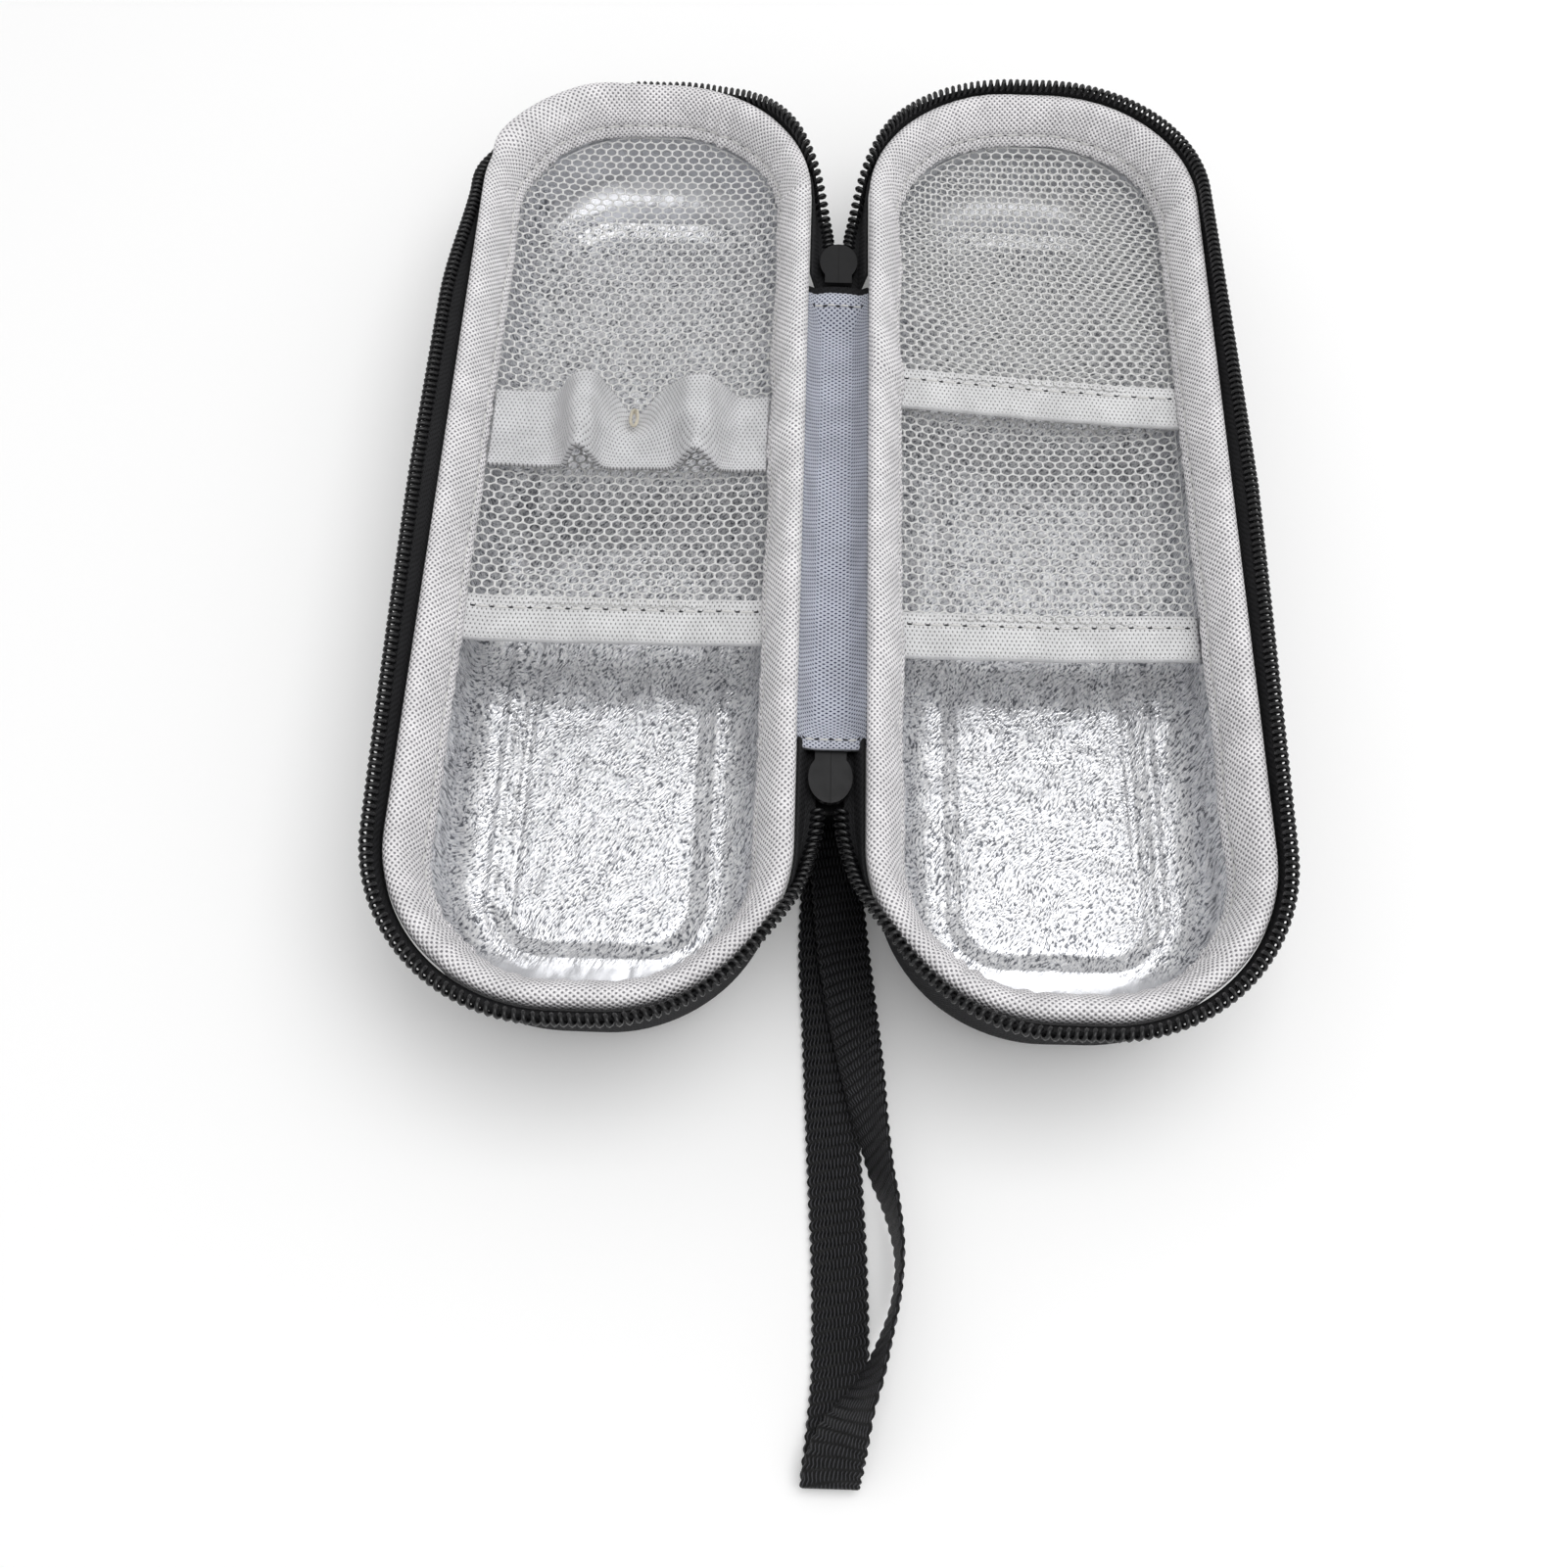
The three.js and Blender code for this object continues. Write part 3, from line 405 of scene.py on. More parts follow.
def add_mesh(name, points, faces, map_points, material):
    """Mesh object from points in millimetres, with a place on the cloth for each corner of a face."""
    mesh = bpy.data.meshes.new(name)
    mesh.from_pydata((np.asarray(points) * MM).tolist(), [], faces)
    layer = mesh.uv_layers.new(name="cloth")
    layer.data.foreach_set("uv", np.asarray(map_points, np.float32).ravel())
    mesh.materials.append(material)
    mesh.shade_smooth()
    piece = bpy.data.objects.new(name, mesh)
    bpy.context.scene.collection.objects.link(piece)
    return piece


def grid(name, points, material, along=None, across=None, loop_rows=False, loop_columns=False, capped=False):
    """Skin over rows x columns x 3 points, mapped in millimetres along the rows and across the columns."""
    rows, columns = points.shape[:2]
    row_ends = rows if loop_rows else rows - 1
    column_ends = columns if loop_columns else columns - 1
    if along is None:
        along = path_lengths(looped(points[:, 0]))
    if across is None:
        across = path_lengths(looped(points[0]))
    i, j = (a.ravel() for a in np.meshgrid(np.arange(row_ends), np.arange(column_ends), indexing="ij"))
    next_i, next_j = i + 1, j + 1
    corners = [(i, j), (i, next_j), (next_i, next_j), (next_i, j)]
    index = np.stack([(a % rows) * columns + b % columns for a, b in corners], axis=1)
    places = np.stack([np.stack([along[a], across[b]], axis=1) for a, b in corners], axis=1)
    faces, places = index.tolist(), places.reshape(-1, 2)
    if capped:
        faces += [list(range(columns))[::-1], [(rows - 1) * columns + k for k in range(columns)]]
        ends = np.repeat([[along[0], 0], [along[rows - 1], 0]], columns, axis=0)
        places = np.concatenate([places, ends])
    return face_outward(add_mesh(name, points.reshape(-1, 3), faces, places, material))


def tube(name, points, look, along=None, across=None):
    """Closed skin of rings, with both ends covered."""
    return grid(name, points, LOOKS[look], along, across, loop_columns=True, capped=True)


def face_outward(piece, weld=0):
    """Turns the faces outward, after merging points that lie on each other within weld millimetres."""
    work = bmesh.new()
    work.from_mesh(piece.data)
    if weld:
        bmesh.ops.remove_doubles(work, verts=work.verts, dist=weld * MM)
        bmesh.ops.dissolve_degenerate(work, edges=work.edges, dist=weld * MM / 10)
    bmesh.ops.recalc_face_normals(work, faces=work.faces)
    work.to_mesh(piece.data)
    work.free()
    return piece


def map_base_flat(piece, height):
    """Maps the faces below a height by their place in plan, where a map round the rim would pinch."""
    mesh = piece.data
    places = mesh.uv_layers["cloth"].data
    for face in mesh.polygons:
        if max(mesh.vertices[k].co.z for k in face.vertices) < height * MM:
            for corner, k in zip(face.loop_indices, face.vertices):
                places[corner].uv = mesh.vertices[k].co.xy / MM


def ring_about(centres, first, second, sides, first_radius, second_radius):
    """Closed ring of points round each centre, in the plane of two directions."""
    angle = np.arange(sides) * (2 * math.pi / sides)
    return (centres[:, None]
            + np.cos(angle)[None, :, None] * (first * first_radius)[:, None]
            + np.sin(angle)[None, :, None] * (second * second_radius)[:, None])


def many_tubes(name, tubes, material):
    """One mesh of closed tubes, each given as rings x sides x 3 points."""
    rings, sides = tubes[0].shape[:2]
    one = []
    for i, j in np.ndindex(rings - 1, sides):
        turned = (j + 1) % sides
        one.append([i * sides + j, (i + 1) * sides + j, (i + 1) * sides + turned, i * sides + turned])
    places = [(THREAD_STEP * (face[k] // sides), k) for face in one for k in range(4)]
    ends = [list(range(sides))[::-1], [(rings - 1) * sides + j for j in range(sides)]]
    places += [(0, 0)] * (2 * sides)
    starts = range(0, len(tubes) * rings * sides, rings * sides)
    faces = [[start + corner for corner in face] for start in starts for face in one + ends]
    points = np.concatenate([rings_of_one.reshape(-1, 3) for rings_of_one in tubes])
    return face_outward(add_mesh(name, points, faces, places * len(tubes), material))


STITCH_SIDES = 6
HOLE_SIDES = 8
THREAD_STEP = 0.4  # place along a thread, from ring to ring
STITCH_SHARES = np.array([0, 0.08, 0.25, 0.5, 0.75, 0.92, 1])
STITCH_THICKNESS = np.array([0.3, 0.8, 1, 1, 1, 0.8, 0.3])
STITCH_RISE = np.array([-1.6, -0.3, 0.8, 1, 0.8, -0.3, -1.6])
HOLE_LEVELS = ((-0.12, 1.0), (0.03, 0.9), (0.06, 0.4))  # height of a ring, and its share of the size
HOLE_LONG = 0.62  # half length of a hole, as a share of the gap


def seam(name, path, out, body, slot, length, gap, radius, lift, hole):
    """Running stitch along a path, sunk into the cloth at both ends, with a dark patch of painted shade in
    each needle hole.
    """
    lengths = path_lengths(path)
    count = int(lengths[-1] / (length + gap))
    spacing = lengths[-1] / count
    threads = []
    for k in range(count):
        wanted = k * spacing + gap / 2 + STITCH_SHARES * (spacing - gap)
        up = unit(follow(out, lengths, wanted))
        at = follow(path, lengths, wanted) + up * (STITCH_RISE * lift)[:, None]
        side = unit(np.cross(up, np.gradient(at, axis=0)))
        rings = ring_about(at, side, up, STITCH_SIDES, radius, radius)
        threads.append(at[:, None] + (rings - at[:, None]) * STITCH_THICKNESS[:, None, None])
    dress(many_tubes(name, threads, LOOKS["pale_thread"]), body, slot)
    wanted = np.arange(count + 1) * spacing
    up = unit(follow(out, lengths, wanted))
    at = follow(path, lengths, wanted)
    ahead = unit(follow(path, lengths, wanted + 0.1) - follow(path, lengths, wanted - 0.1))
    side = unit(np.cross(up, ahead))
    half_long = gap * HOLE_LONG
    # Dark domes at each needle hole: painted shade inside the holes.
    domes = np.stack([ring_about(at + up * height, ahead, side, HOLE_SIDES, half_long * share, hole * share)
                      for height, share in HOLE_LEVELS], axis=1)
    dress(many_tubes(f"{name}_holes", list(domes), LOOKS["needle_hole"]), body, slot)


# Materials

def feed(tree, node, values):
    """Each value is linked to its input if it is a socket, and set there if it is a number or colour."""
    for key, value in values.items():
        if isinstance(value, bpy.types.NodeSocket):
            tree.links.new(value, node.inputs[key])
        else:
            node.inputs[key].default_value = value


def place(tree, kind, values=None, **settings):
    """One shader node with its settings and inputs."""
    made = tree.nodes.new("ShaderNode" + kind)
    for key, value in settings.items():
        setattr(made, key, value)
    feed(tree, made, values or {})
    return made


def maths(tree, operation, first, second=0.0, third=0.0):
    return place(tree, "Math", {0: first, 1: second, 2: third}, operation=operation).outputs[0]


def span(tree, value, from_low, from_high, to_low=0.0, to_high=1.0):
    """Value taken smoothly from one span to another."""
    values = {0: value, 1: from_low, 2: from_high, 3: to_low, 4: to_high}
    return place(tree, "MapRange", values, interpolation_type="SMOOTHSTEP").outputs[0]


def mix_colour(tree, share, first, second, blend="MIX"):
    """Mixed colour; 0, 6, 7 and 2 are the node's sockets for colours."""
    values = {0: share, 6: first, 7: second}
    return place(tree, "Mix", values, data_type="RGBA", blend_type=blend).outputs[2]


def colour(red, green, blue):
    """Linear colour from the usual 0 to 255 values."""
    shares = (value / 255 for value in (red, green, blue))
    return (*(((v + 0.055) / 1.055) ** 2.4 if v > 0.04 else v / 12.92 for v in shares), 1)


def new_group(name, inputs, outputs):
    """Shader group of a place and numbers: its tree, what it is given, and its last node."""
    tree = bpy.data.node_groups.new(name, "ShaderNodeTree")
    for label, value in inputs.items():
        kind = "NodeSocketVector" if value is None else "NodeSocketFloat"
        socket = tree.interface.new_socket(name=label, in_out="INPUT", socket_type=kind)
        if value is not None:
            socket.default_value = value
    for label in outputs:
        tree.interface.new_socket(name=label, in_out="OUTPUT", socket_type="NodeSocketFloat")
    return tree, tree.nodes.new("NodeGroupInput").outputs, tree.nodes.new("NodeGroupOutput")


def weave_group():
    """Crossed threads: a chessboard of raised floats and sunk pits, which may slant in chevrons; the Pit
    output is the mask for the painted shade in the pits.
    """
    tree, given, end = new_group(
        "crossed_threads",
        {"Place": None, "Along Pitch": 0.5, "Across Pitch": 0.5, "Slant": 0.0, "Chevron": 1000.0,
         "Pit Start": 0.15, "Pit End": 0.7},
        ["Height", "Pit"],
    )
    parts = place(tree, "SeparateXYZ", {0: given["Place"]}).outputs
    turned = maths(tree, "PINGPONG", parts["Y"], given["Chevron"])
    slanted = maths(tree, "MULTIPLY_ADD", turned, given["Slant"], parts["X"])
    waves = []
    for value, pitch in ((slanted, given["Along Pitch"]), (parts["Y"], given["Across Pitch"])):
        turns = maths(tree, "DIVIDE", value, pitch)
        waves.append(maths(tree, "SINE", maths(tree, "MULTIPLY", turns, math.pi)))
    wave = maths(tree, "MULTIPLY", *waves)
    height = maths(tree, "MULTIPLY_ADD", wave, 0.5, 0.5)
    sunk = maths(tree, "MULTIPLY", wave, -1.0)
    feed(tree, end, {"Height": height, "Pit": span(tree, sunk, given["Pit Start"], given["Pit End"])})
    return tree


def fibre_group():
    """Soft cloudy change of tone and a fine fuzz, both about 0.5."""
    tree, given, end = new_group("fibre_cloud", {"Cloud Size": 6.0, "Fuzz Size": 0.25}, ["Cloud", "Fuzz"])
    where = place(tree, "TexCoord").outputs["Object"]
    for label, size in (("Cloud", given["Cloud Size"]), ("Fuzz", given["Fuzz Size"])):
        scale = maths(tree, "DIVIDE", 1 / MM, size)
        tone = place(tree, "TexNoise", {"Vector": where, "Scale": scale, "Detail": 2.0})
        feed(tree, end, {label: tone.outputs[0]})
    return tree


weave_tree = weave_group()
fibre_tree = fibre_group()


def new_material(name):
    material = bpy.data.materials.new(name)
    material.use_nodes = True
    tree = material.node_tree
    return material, tree, tree.nodes["Principled BSDF"]


def cloth_place(tree):
    return place(tree, "UVMap", uv_map="cloth").outputs[0]


def bump(tree, height, depth, under=None):
    values = {"Height": height, "Distance": depth * MM, "Strength": 1.0}
    if under is not None:
        values["Normal"] = under
    return place(tree, "Bump", values).outputs[0]


MIDDLE_TONES = 0.3, 0.7  # of a noise, spread over the whole of a span
CLOUD_TONES = 0.92, 1.08  # darkest and lightest of cloth, by its clouds and by its fuzz
FUZZ_TONES = 0.88, 1.08
FUZZ_DEPTH = 0.3  # as a share of the weave's
ROUGH_SPREAD = 0.08


def shaded(tree, tone, share, low, high):
    """A tone made darker and lighter by a noise."""
    return mix_colour(tree, 1.0, tone, span(tree, share, *MIDDLE_TONES, low, high), "MULTIPLY")


def fibres(tree, sizes=None):
    return place(tree, "Group", sizes, node_tree=fibre_tree).outputs


def woven(name, thread, pit_shade, pitch, depth, roughness, slant=0.0, chevron=1000.0, pits=(0.15, 0.7), sheen=0.0):
    """Woven cloth: thread colour and the colour of the painted shade in the pits, pitch along and across, and
    depth of the weave.
    """
    material, tree, surface = new_material(name)
    sizes = {"Along Pitch": pitch[0], "Across Pitch": pitch[1], "Slant": slant, "Chevron": chevron,
             "Pit Start": pits[0], "Pit End": pits[1]}
    weave = place(tree, "Group", {"Place": cloth_place(tree), **sizes}, node_tree=weave_tree).outputs
    fibre = fibres(tree)
    # Darker pits: partly the weave's own under-threads, partly painted shade in its recesses.
    tone = mix_colour(tree, weave["Pit"], colour(*thread), colour(*pit_shade))
    tone = shaded(tree, tone, fibre["Cloud"], *CLOUD_TONES)
    rough = roughness - ROUGH_SPREAD, roughness + ROUGH_SPREAD
    feed(tree, surface, {
        "Base Color": shaded(tree, tone, fibre["Fuzz"], *FUZZ_TONES),
        "Roughness": span(tree, fibre["Fuzz"], *MIDDLE_TONES, *rough),
        "Normal": bump(tree, weave["Height"], depth, bump(tree, fibre["Fuzz"], depth * FUZZ_DEPTH)),
        "Sheen Weight": sheen,
        "Specular IOR Level": 0.3,
    })
    return material


# Creases of the film, for its bumps and for its painted crease shade and glints: slant in degrees, and size
# along X, Y and Z
FILM_LAYERS = {
    "dash": (-34, (0.32, 0.95, 2.2)),
    "cross": (18, (0.3, 0.75, 1.9)),
    "broad": (-8, (3.2, 5.5, 5.0)),
}
FILM_CREASED = 19, 4  # distance from a half's end at which the creases stop, and their fade
# Spans of the crease noise over which painted shade (dark specks for dark reflections in the creases) and
# painted glints (light specks) come in.
CREASE_SHADE_SPAN = 0.79, 0.87
CREASE_GLINT_SPAN = 0.72, 0.62


def foil_material():
    """Silver film in fine short dashes of crease, which slant over the floor and stand on the walls, with
    painted shade and painted glints in its colour.
    """
    material, tree, surface = new_material("creased_foil_painted_shade_and_glints")
    where = place(tree, "TexCoord").outputs["Object"]
    bend = place(tree, "TexNoise", {"Vector": where, "Scale": 90.0, "Detail": 1.0}).outputs[1]
    bent = mix_colour(tree, 0.002, where, bend, "LINEAR_LIGHT")
    layers = {}
    for label, (slant, size) in FILM_LAYERS.items():
        values = {"Vector": bent, "Rotation": (0, 0, math.radians(slant)), "Scale": [v * MM for v in size]}
        drawn = place(tree, "Mapping", values, vector_type="TEXTURE").outputs[0]
        layers[label] = place(tree, "TexNoise", {"Vector": drawn, "Scale": 1.0, "Detail": 1.0}).outputs[0]
    along = maths(tree, "ABSOLUTE", place(tree, "SeparateXYZ", {0: where}).outputs["Y"])
    end = (rim_length / 2 - FILM_CREASED[0]) * MM
    creased = span(tree, along, end, end + FILM_CREASED[1] * MM, 1.0, 0.08)
    crossed = maths(tree, "MULTIPLY_ADD", layers["cross"], 0.45, layers["dash"])
    # Dark specks are painted shade and reflection in the creases; light specks are painted glints.
    dark, light = (maths(tree, "MULTIPLY", span(tree, crossed, *tones), creased)
                   for tones in (CREASE_SHADE_SPAN, CREASE_GLINT_SPAN))
    tone = mix_colour(tree, dark, colour(218, 219, 223), colour(116, 118, 124))
    tone = mix_colour(tree, light, tone, colour(250, 250, 251))
    dashes = maths(tree, "MULTIPLY", layers["dash"], creased)
    # The broad noise also darkens and lightens the colour with the broad wrinkles: painted shading.
    feed(tree, surface, {
        "Base Color": shaded(tree, tone, layers["broad"], 0.92, 1.04),
        "Roughness": span(tree, layers["broad"], 0.35, 0.65, 0.2, 0.34),
        "Normal": bump(tree, dashes, 0.15, bump(tree, layers["broad"], 0.25)),
        "Metallic": 0.72,
    })
    return material


def thread_material(name, *tone):
    """Twisted thread: fine slanting plies along its length."""
    material, tree, surface = new_material(name)
    parts = place(tree, "SeparateXYZ", {0: cloth_place(tree)}).outputs
    turns = maths(tree, "MULTIPLY_ADD", parts["X"], 14.0, parts["Y"])
    feed(tree, surface, {
        "Base Color": shaded(tree, colour(*tone), fibres(tree)["Fuzz"], 0.9, 1.06),
        "Normal": bump(tree, maths(tree, "ABSOLUTE", maths(tree, "SINE", turns)), 0.08),
        "Roughness": 0.7,
    })
    return material


def smooth_black(name, tone, roughness, metallic=0.0, grain=0.02, coat=0.0, parting_line_shade=False):
    """Moulded or lacquered dark piece with a fine grain and rubbed, slightly shinier patches, and if asked a
    parting line with painted shade.
    """
    material, tree, surface = new_material(name)
    fibre = fibres(tree, {"Cloud Size": 2.5, "Fuzz Size": 0.12})
    tone = shaded(tree, colour(*tone), fibre["Cloud"], 0.85, 1.2)
    height = fibre["Fuzz"]
    if parting_line_shade:
        # Parting line: a groove in the bumps, and a darker colour along it that is painted shade in the
        # groove.
        where = place(tree, "TexCoord").outputs["Object"]
        across = maths(tree, "ABSOLUTE", place(tree, "SeparateXYZ", {0: where}).outputs["X"])
        line = span(tree, across, 0.05 * MM, 0.16 * MM, 1.0, 0.0)
        tone = mix_colour(tree, line, tone, colour(6, 6, 7))
        height = maths(tree, "SUBTRACT", height, maths(tree, "MULTIPLY", line, 2.0))
    feed(tree, surface, {
        "Base Color": tone,
        "Roughness": span(tree, fibre["Cloud"], *MIDDLE_TONES, roughness + 0.06, roughness - 0.06),
        "Normal": bump(tree, height, grain),
        "Metallic": metallic,
        "Coat Weight": coat,
    })
    return material


KNIT = {"pitch": (0.42, 0.86), "depth": 0.16, "roughness": 0.84, "pits": (0.5, 0.9), "sheen": 0.1}
# Second colour of each cloth: its pits, partly the weave's own darker under-threads, partly painted shade.
LOOKS = {
    "shell": woven("black_shell_cloth", (28, 28, 31), (10, 10, 11), (0.62, 0.62), 0.12, 0.82, 0.5),
    "zip_tape": woven("black_zip_tape", (34, 34, 36), (7, 7, 8), (0.62, 0.3), 0.12, 0.75, 1.0, 1.4),
    "binding": woven("pale_binding", (252, 250, 252), (134, 132, 137), (0.62, 0.56), 0.3, 0.86,
                     pits=(0.0, 0.8), sheen=0.1),
    "lining": woven("blue_grey_lining", (198, 201, 212), (44, 49, 76), (0.45, 0.7), 0.16, 0.86,
                    pits=(0.1, 0.7), sheen=0.1),
    # Webbing: the lighter thread colour shows only as small dots along the ribs, which are painted glints.
    "webbing": woven("black_webbing", (64, 64, 68), (5, 5, 6), (STRAP_RIB, 0.33), 0.35, 0.55, 0.25,
                     pits=(-0.6, -0.1)),
    "foam": woven("white_foam", (226, 226, 221), (206, 206, 200), (0.9, 0.9), 0.05, 0.9),
    "elastic": woven("pocket_elastic", (224, 224, 225), (84, 83, 85), **KNIT),
    "loop_elastic": woven("pen_loop_knit", (214, 214, 216), (92, 91, 94), **KNIT),
    "foil": foil_material(),
    "net": thread_material("white_net_thread", 247, 247, 246),
    "pale_thread": thread_material("pale_sewing_thread", 240, 239, 237),
    "cream_thread": thread_material("cream_tack_thread", 222, 214, 196),
    # Painted shade inside the needle holes.
    "needle_hole": thread_material("painted_needle_hole_shade", 34, 34, 40),
    "zip_coil": smooth_black("black_coil", (16, 16, 18), 0.26),
    "slider": smooth_black("dark_lacquered_metal", (17, 17, 19), 0.42, 0.3, 0.015, 0.1, True),
}


def dress(piece, body, slot, *nodes):
    """The piece rides on a body and stands for the nodes, which are hidden; slot is not used."""
    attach(piece, body)
    if nodes:
        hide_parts(*nodes)
    return piece


# Camera, floor and light

def add_camera():
    camera = bpy.data.objects.new("camera", bpy.data.cameras.new("camera"))
    camera.data.lens = CAMERA_LENS
    camera.data.sensor_width = CAMERA_SENSOR
    camera.data.clip_start = 0.01
    bpy.context.scene.collection.objects.link(camera)
    camera.matrix_world = Matrix.Translation(np.array(CAMERA_PLACE) * MM)
    for angle, axis in ((-CAMERA_AZIMUTH, "Z"), (math.pi / 2 - CAMERA_ELEVATION, "X"), (CAMERA_ROLL, "Z")):
        camera.matrix_world = camera.matrix_world @ Matrix.Rotation(angle, 4, axis)
    bpy.context.scene.camera = camera


def add_floor():
    material, tree, surface = new_material("pale_floor")
    rays = place(tree, "LightPath").outputs
    seen = maths(tree, "MAXIMUM", rays["Is Camera Ray"], rays["Is Glossy Ray"])
    seen = maths(tree, "MAXIMUM", seen, rays["Is Transmission Ray"])
    feed(tree, surface, {
        "Base Color": colour(247, 247, 247),
        "Roughness": 0.9,
        "Emission Color": (1, 1, 1, 1),
        "Emission Strength": maths(tree, "MULTIPLY", seen, FLOOR_LIFT),
    })
    angle = np.arange(FLOOR_SIDES) * (2 * math.pi / FLOOR_SIDES)
    points = np.stack([np.cos(angle), np.sin(angle), np.zeros(FLOOR_SIDES)], axis=1) * FLOOR_RADIUS
    points[:, 2] = -FLOOR_DROP
    floor = add_mesh("floor", points, [list(range(FLOOR_SIDES))], np.zeros((FLOOR_SIDES, 2)), material)


def add_light(name, place_at, size, power):
    """Square soft box at a place in metres, turned to the middle of the case."""
    lamp = bpy.data.lights.new(name, "AREA")
    lamp.size = size
    lamp.energy = power
    box = bpy.data.objects.new(name, lamp)
    box.location = place_at
    box.rotation_euler = (-box.location).to_track_quat("-Z", "Y").to_euler()
    bpy.context.scene.collection.objects.link(box)


def add_world():
    world = bpy.data.worlds.new("soft_room")
    world.use_nodes = True
    tree = world.node_tree
    feed(tree, tree.nodes["Background"], {"Color": (1, 1, 1, 1), "Strength": ROOM_LIGHT})
    bpy.context.scene.world = world


# Wrist strap

def wrist_strap():
    """Ribbed webbing, out along the table, over a fold and back."""
    fine = spline(STRAP_ROUTE, 16)
    lengths = path_lengths(fine[:, :3])
    run = np.arange(0, lengths[-1], STRAP_STEP)
    route = follow(fine, lengths, run)
    centre = route[:, :3]
    along = unit(np.gradient(centre, axis=0))
    tilt = np.radians(route[:, 3])
    across = np.stack([np.cos(tilt), np.zeros_like(tilt), np.sin(tilt)], axis=1)
    across = unit(across - along * np.einsum("ij,ij->i", across, along)[:, None])
    through = np.cross(along, across)
    rib = np.abs(np.sin(run * math.pi / STRAP_RIB))
    half = STRAP_WIDTH / 2 - STRAP_EDGE_IN + STRAP_RIB_OUT * rib
    thick = STRAP_THICK / 2 * lerp(STRAP_VALLEY, 1, rib)
    outline = np.array(STRAP_UPPER + [(-a, -t) for a, t in STRAP_UPPER])
    points = np.stack([centre + across * (a * half)[:, None] + through * (t * thick)[:, None]
                       for a, t in outline], axis=1)
    strap = tube("wrist_strap_webbing", points, "webbing", run, width_map(outline, STRAP_WIDTH))
    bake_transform(strap)
    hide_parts("wrist_strap")


# Moulded halves

def rim_stations(spacing):
    """Places round the rim of a half about its centre: plan points, outward directions and lengths."""
    side_x = rim_width / 2 - RIM_CORNER
    end_y = rim_length / 2 - RIM_CORNER
    centres = np.array([(side_x, end_y), (-side_x, end_y), (-side_x, -end_y), (side_x, -end_y)])
    corner_steps = round(RIM_CORNER * math.pi / 2 / spacing)
    points, outs = [], []
    for quarter in range(4):
        angle = (quarter + np.arange(corner_steps + 1) / corner_steps) * math.pi / 2
        out = np.stack([np.cos(angle), np.sin(angle)], axis=1)
        corner = centres[quarter] + RIM_CORNER * out
        end = centres[(quarter + 1) % 4] + RIM_CORNER * out[-1]
        steps = round(np.linalg.norm(end - corner[-1]) / spacing)
        share = (np.arange(1, steps) / steps)[:, None]
        points += [corner, corner[-1] + share * (end - corner[-1])]
        outs += [out, np.repeat(out[-1:], steps - 1, axis=0)]
    points, outs = np.concatenate(points), np.concatenate(outs)
    return points, outs, path_lengths(looped(points))


def plan_at(points, outs, inset):
    """The rim drawn in by an inset, down to the line where its two long sides meet."""
    shrunk = points - outs * min(inset, RIM_CORNER)
    limit = np.array([rim_width / 2, rim_length / 2]) - inset
    return np.clip(shrunk, -limit, limit)


def wall_inset(depth, z):
    return depth / math.cos(WALL_DRAFT) + (half_depth - z) * math.tan(WALL_DRAFT)


def past_panel(plan):
    """Distance from the edge of the base panel, less than 0 on it."""
    half = np.array([rim_width / 2 - PANEL_INSET, rim_length / 2 - PANEL_END_INSET])
    reach = np.abs(plan) - (half - PANEL_CORNER)
    corner = np.linalg.norm(np.maximum(reach, 0), axis=1)
    return corner + np.minimum(reach.max(axis=1), 0) - PANEL_CORNER


def half_profile(depth, top_z, count):
    """Inset and height of one skin of a half, from the middle of its floor out and up to its top edge."""
    arc_z = PANEL_RAISE + BASE_EDGE_RADIUS
    arc_inset = ((half_depth - arc_z + BASE_EDGE_RADIUS * math.sin(WALL_DRAFT)) * math.tan(WALL_DRAFT)
                 + BASE_EDGE_RADIUS * math.cos(WALL_DRAFT))
    radius = BASE_EDGE_RADIUS - depth
    angle = np.linspace(0, math.pi / 2 - WALL_DRAFT, 40)
    line = np.concatenate([
        [(rim_width / 2, depth + PANEL_RAISE)],
        np.stack([arc_inset - radius * np.sin(angle), arc_z - radius * np.cos(angle)], axis=1),
        [(wall_inset(depth, top_z), top_z)],
    ])
    return resample(line, count)


def half_skin(name, side, outer_depth, thickness, top_z, mesh, material, relief=None):
    """One moulded layer of a half: its inner skin with any relief, its top edge and its outer skin."""
    spacing, inner_rows, outer_rows = mesh
    points, outs, lengths = rim_stations(spacing)
    inner = half_profile(outer_depth + thickness, top_z, inner_rows)
    outer = half_profile(outer_depth, top_z, outer_rows)[::-1]
    rows = []
    for line, facing in ((inner, 1), (outer, -1)):
        slope = unit(np.gradient(line, axis=0)) * facing
        for (inset, z), (run, climb) in zip(line, slope):
            plan = plan_at(points, outs, inset)
            on_panel = np.clip(0.5 - past_panel(plan) / PANEL_STEP, 0, 1) * smoothstep(inset, *LEDGE)
            row = np.column_stack([plan, z - PANEL_RAISE * on_panel])
            push = relief(row, facing, side) if relief else np.zeros(len(row))
            row[:, :2] -= outs * (push * climb)[:, None]
            row[:, 2] -= push * run
            rows.append(row)
    skin = np.array(rows)
    skin[..., 0] += half_x[side]
    section = np.concatenate([inner, outer])
    piece = grid(name, skin, material, path_lengths(section), lengths, loop_columns=True)
    return face_outward(piece, weld=0.01)


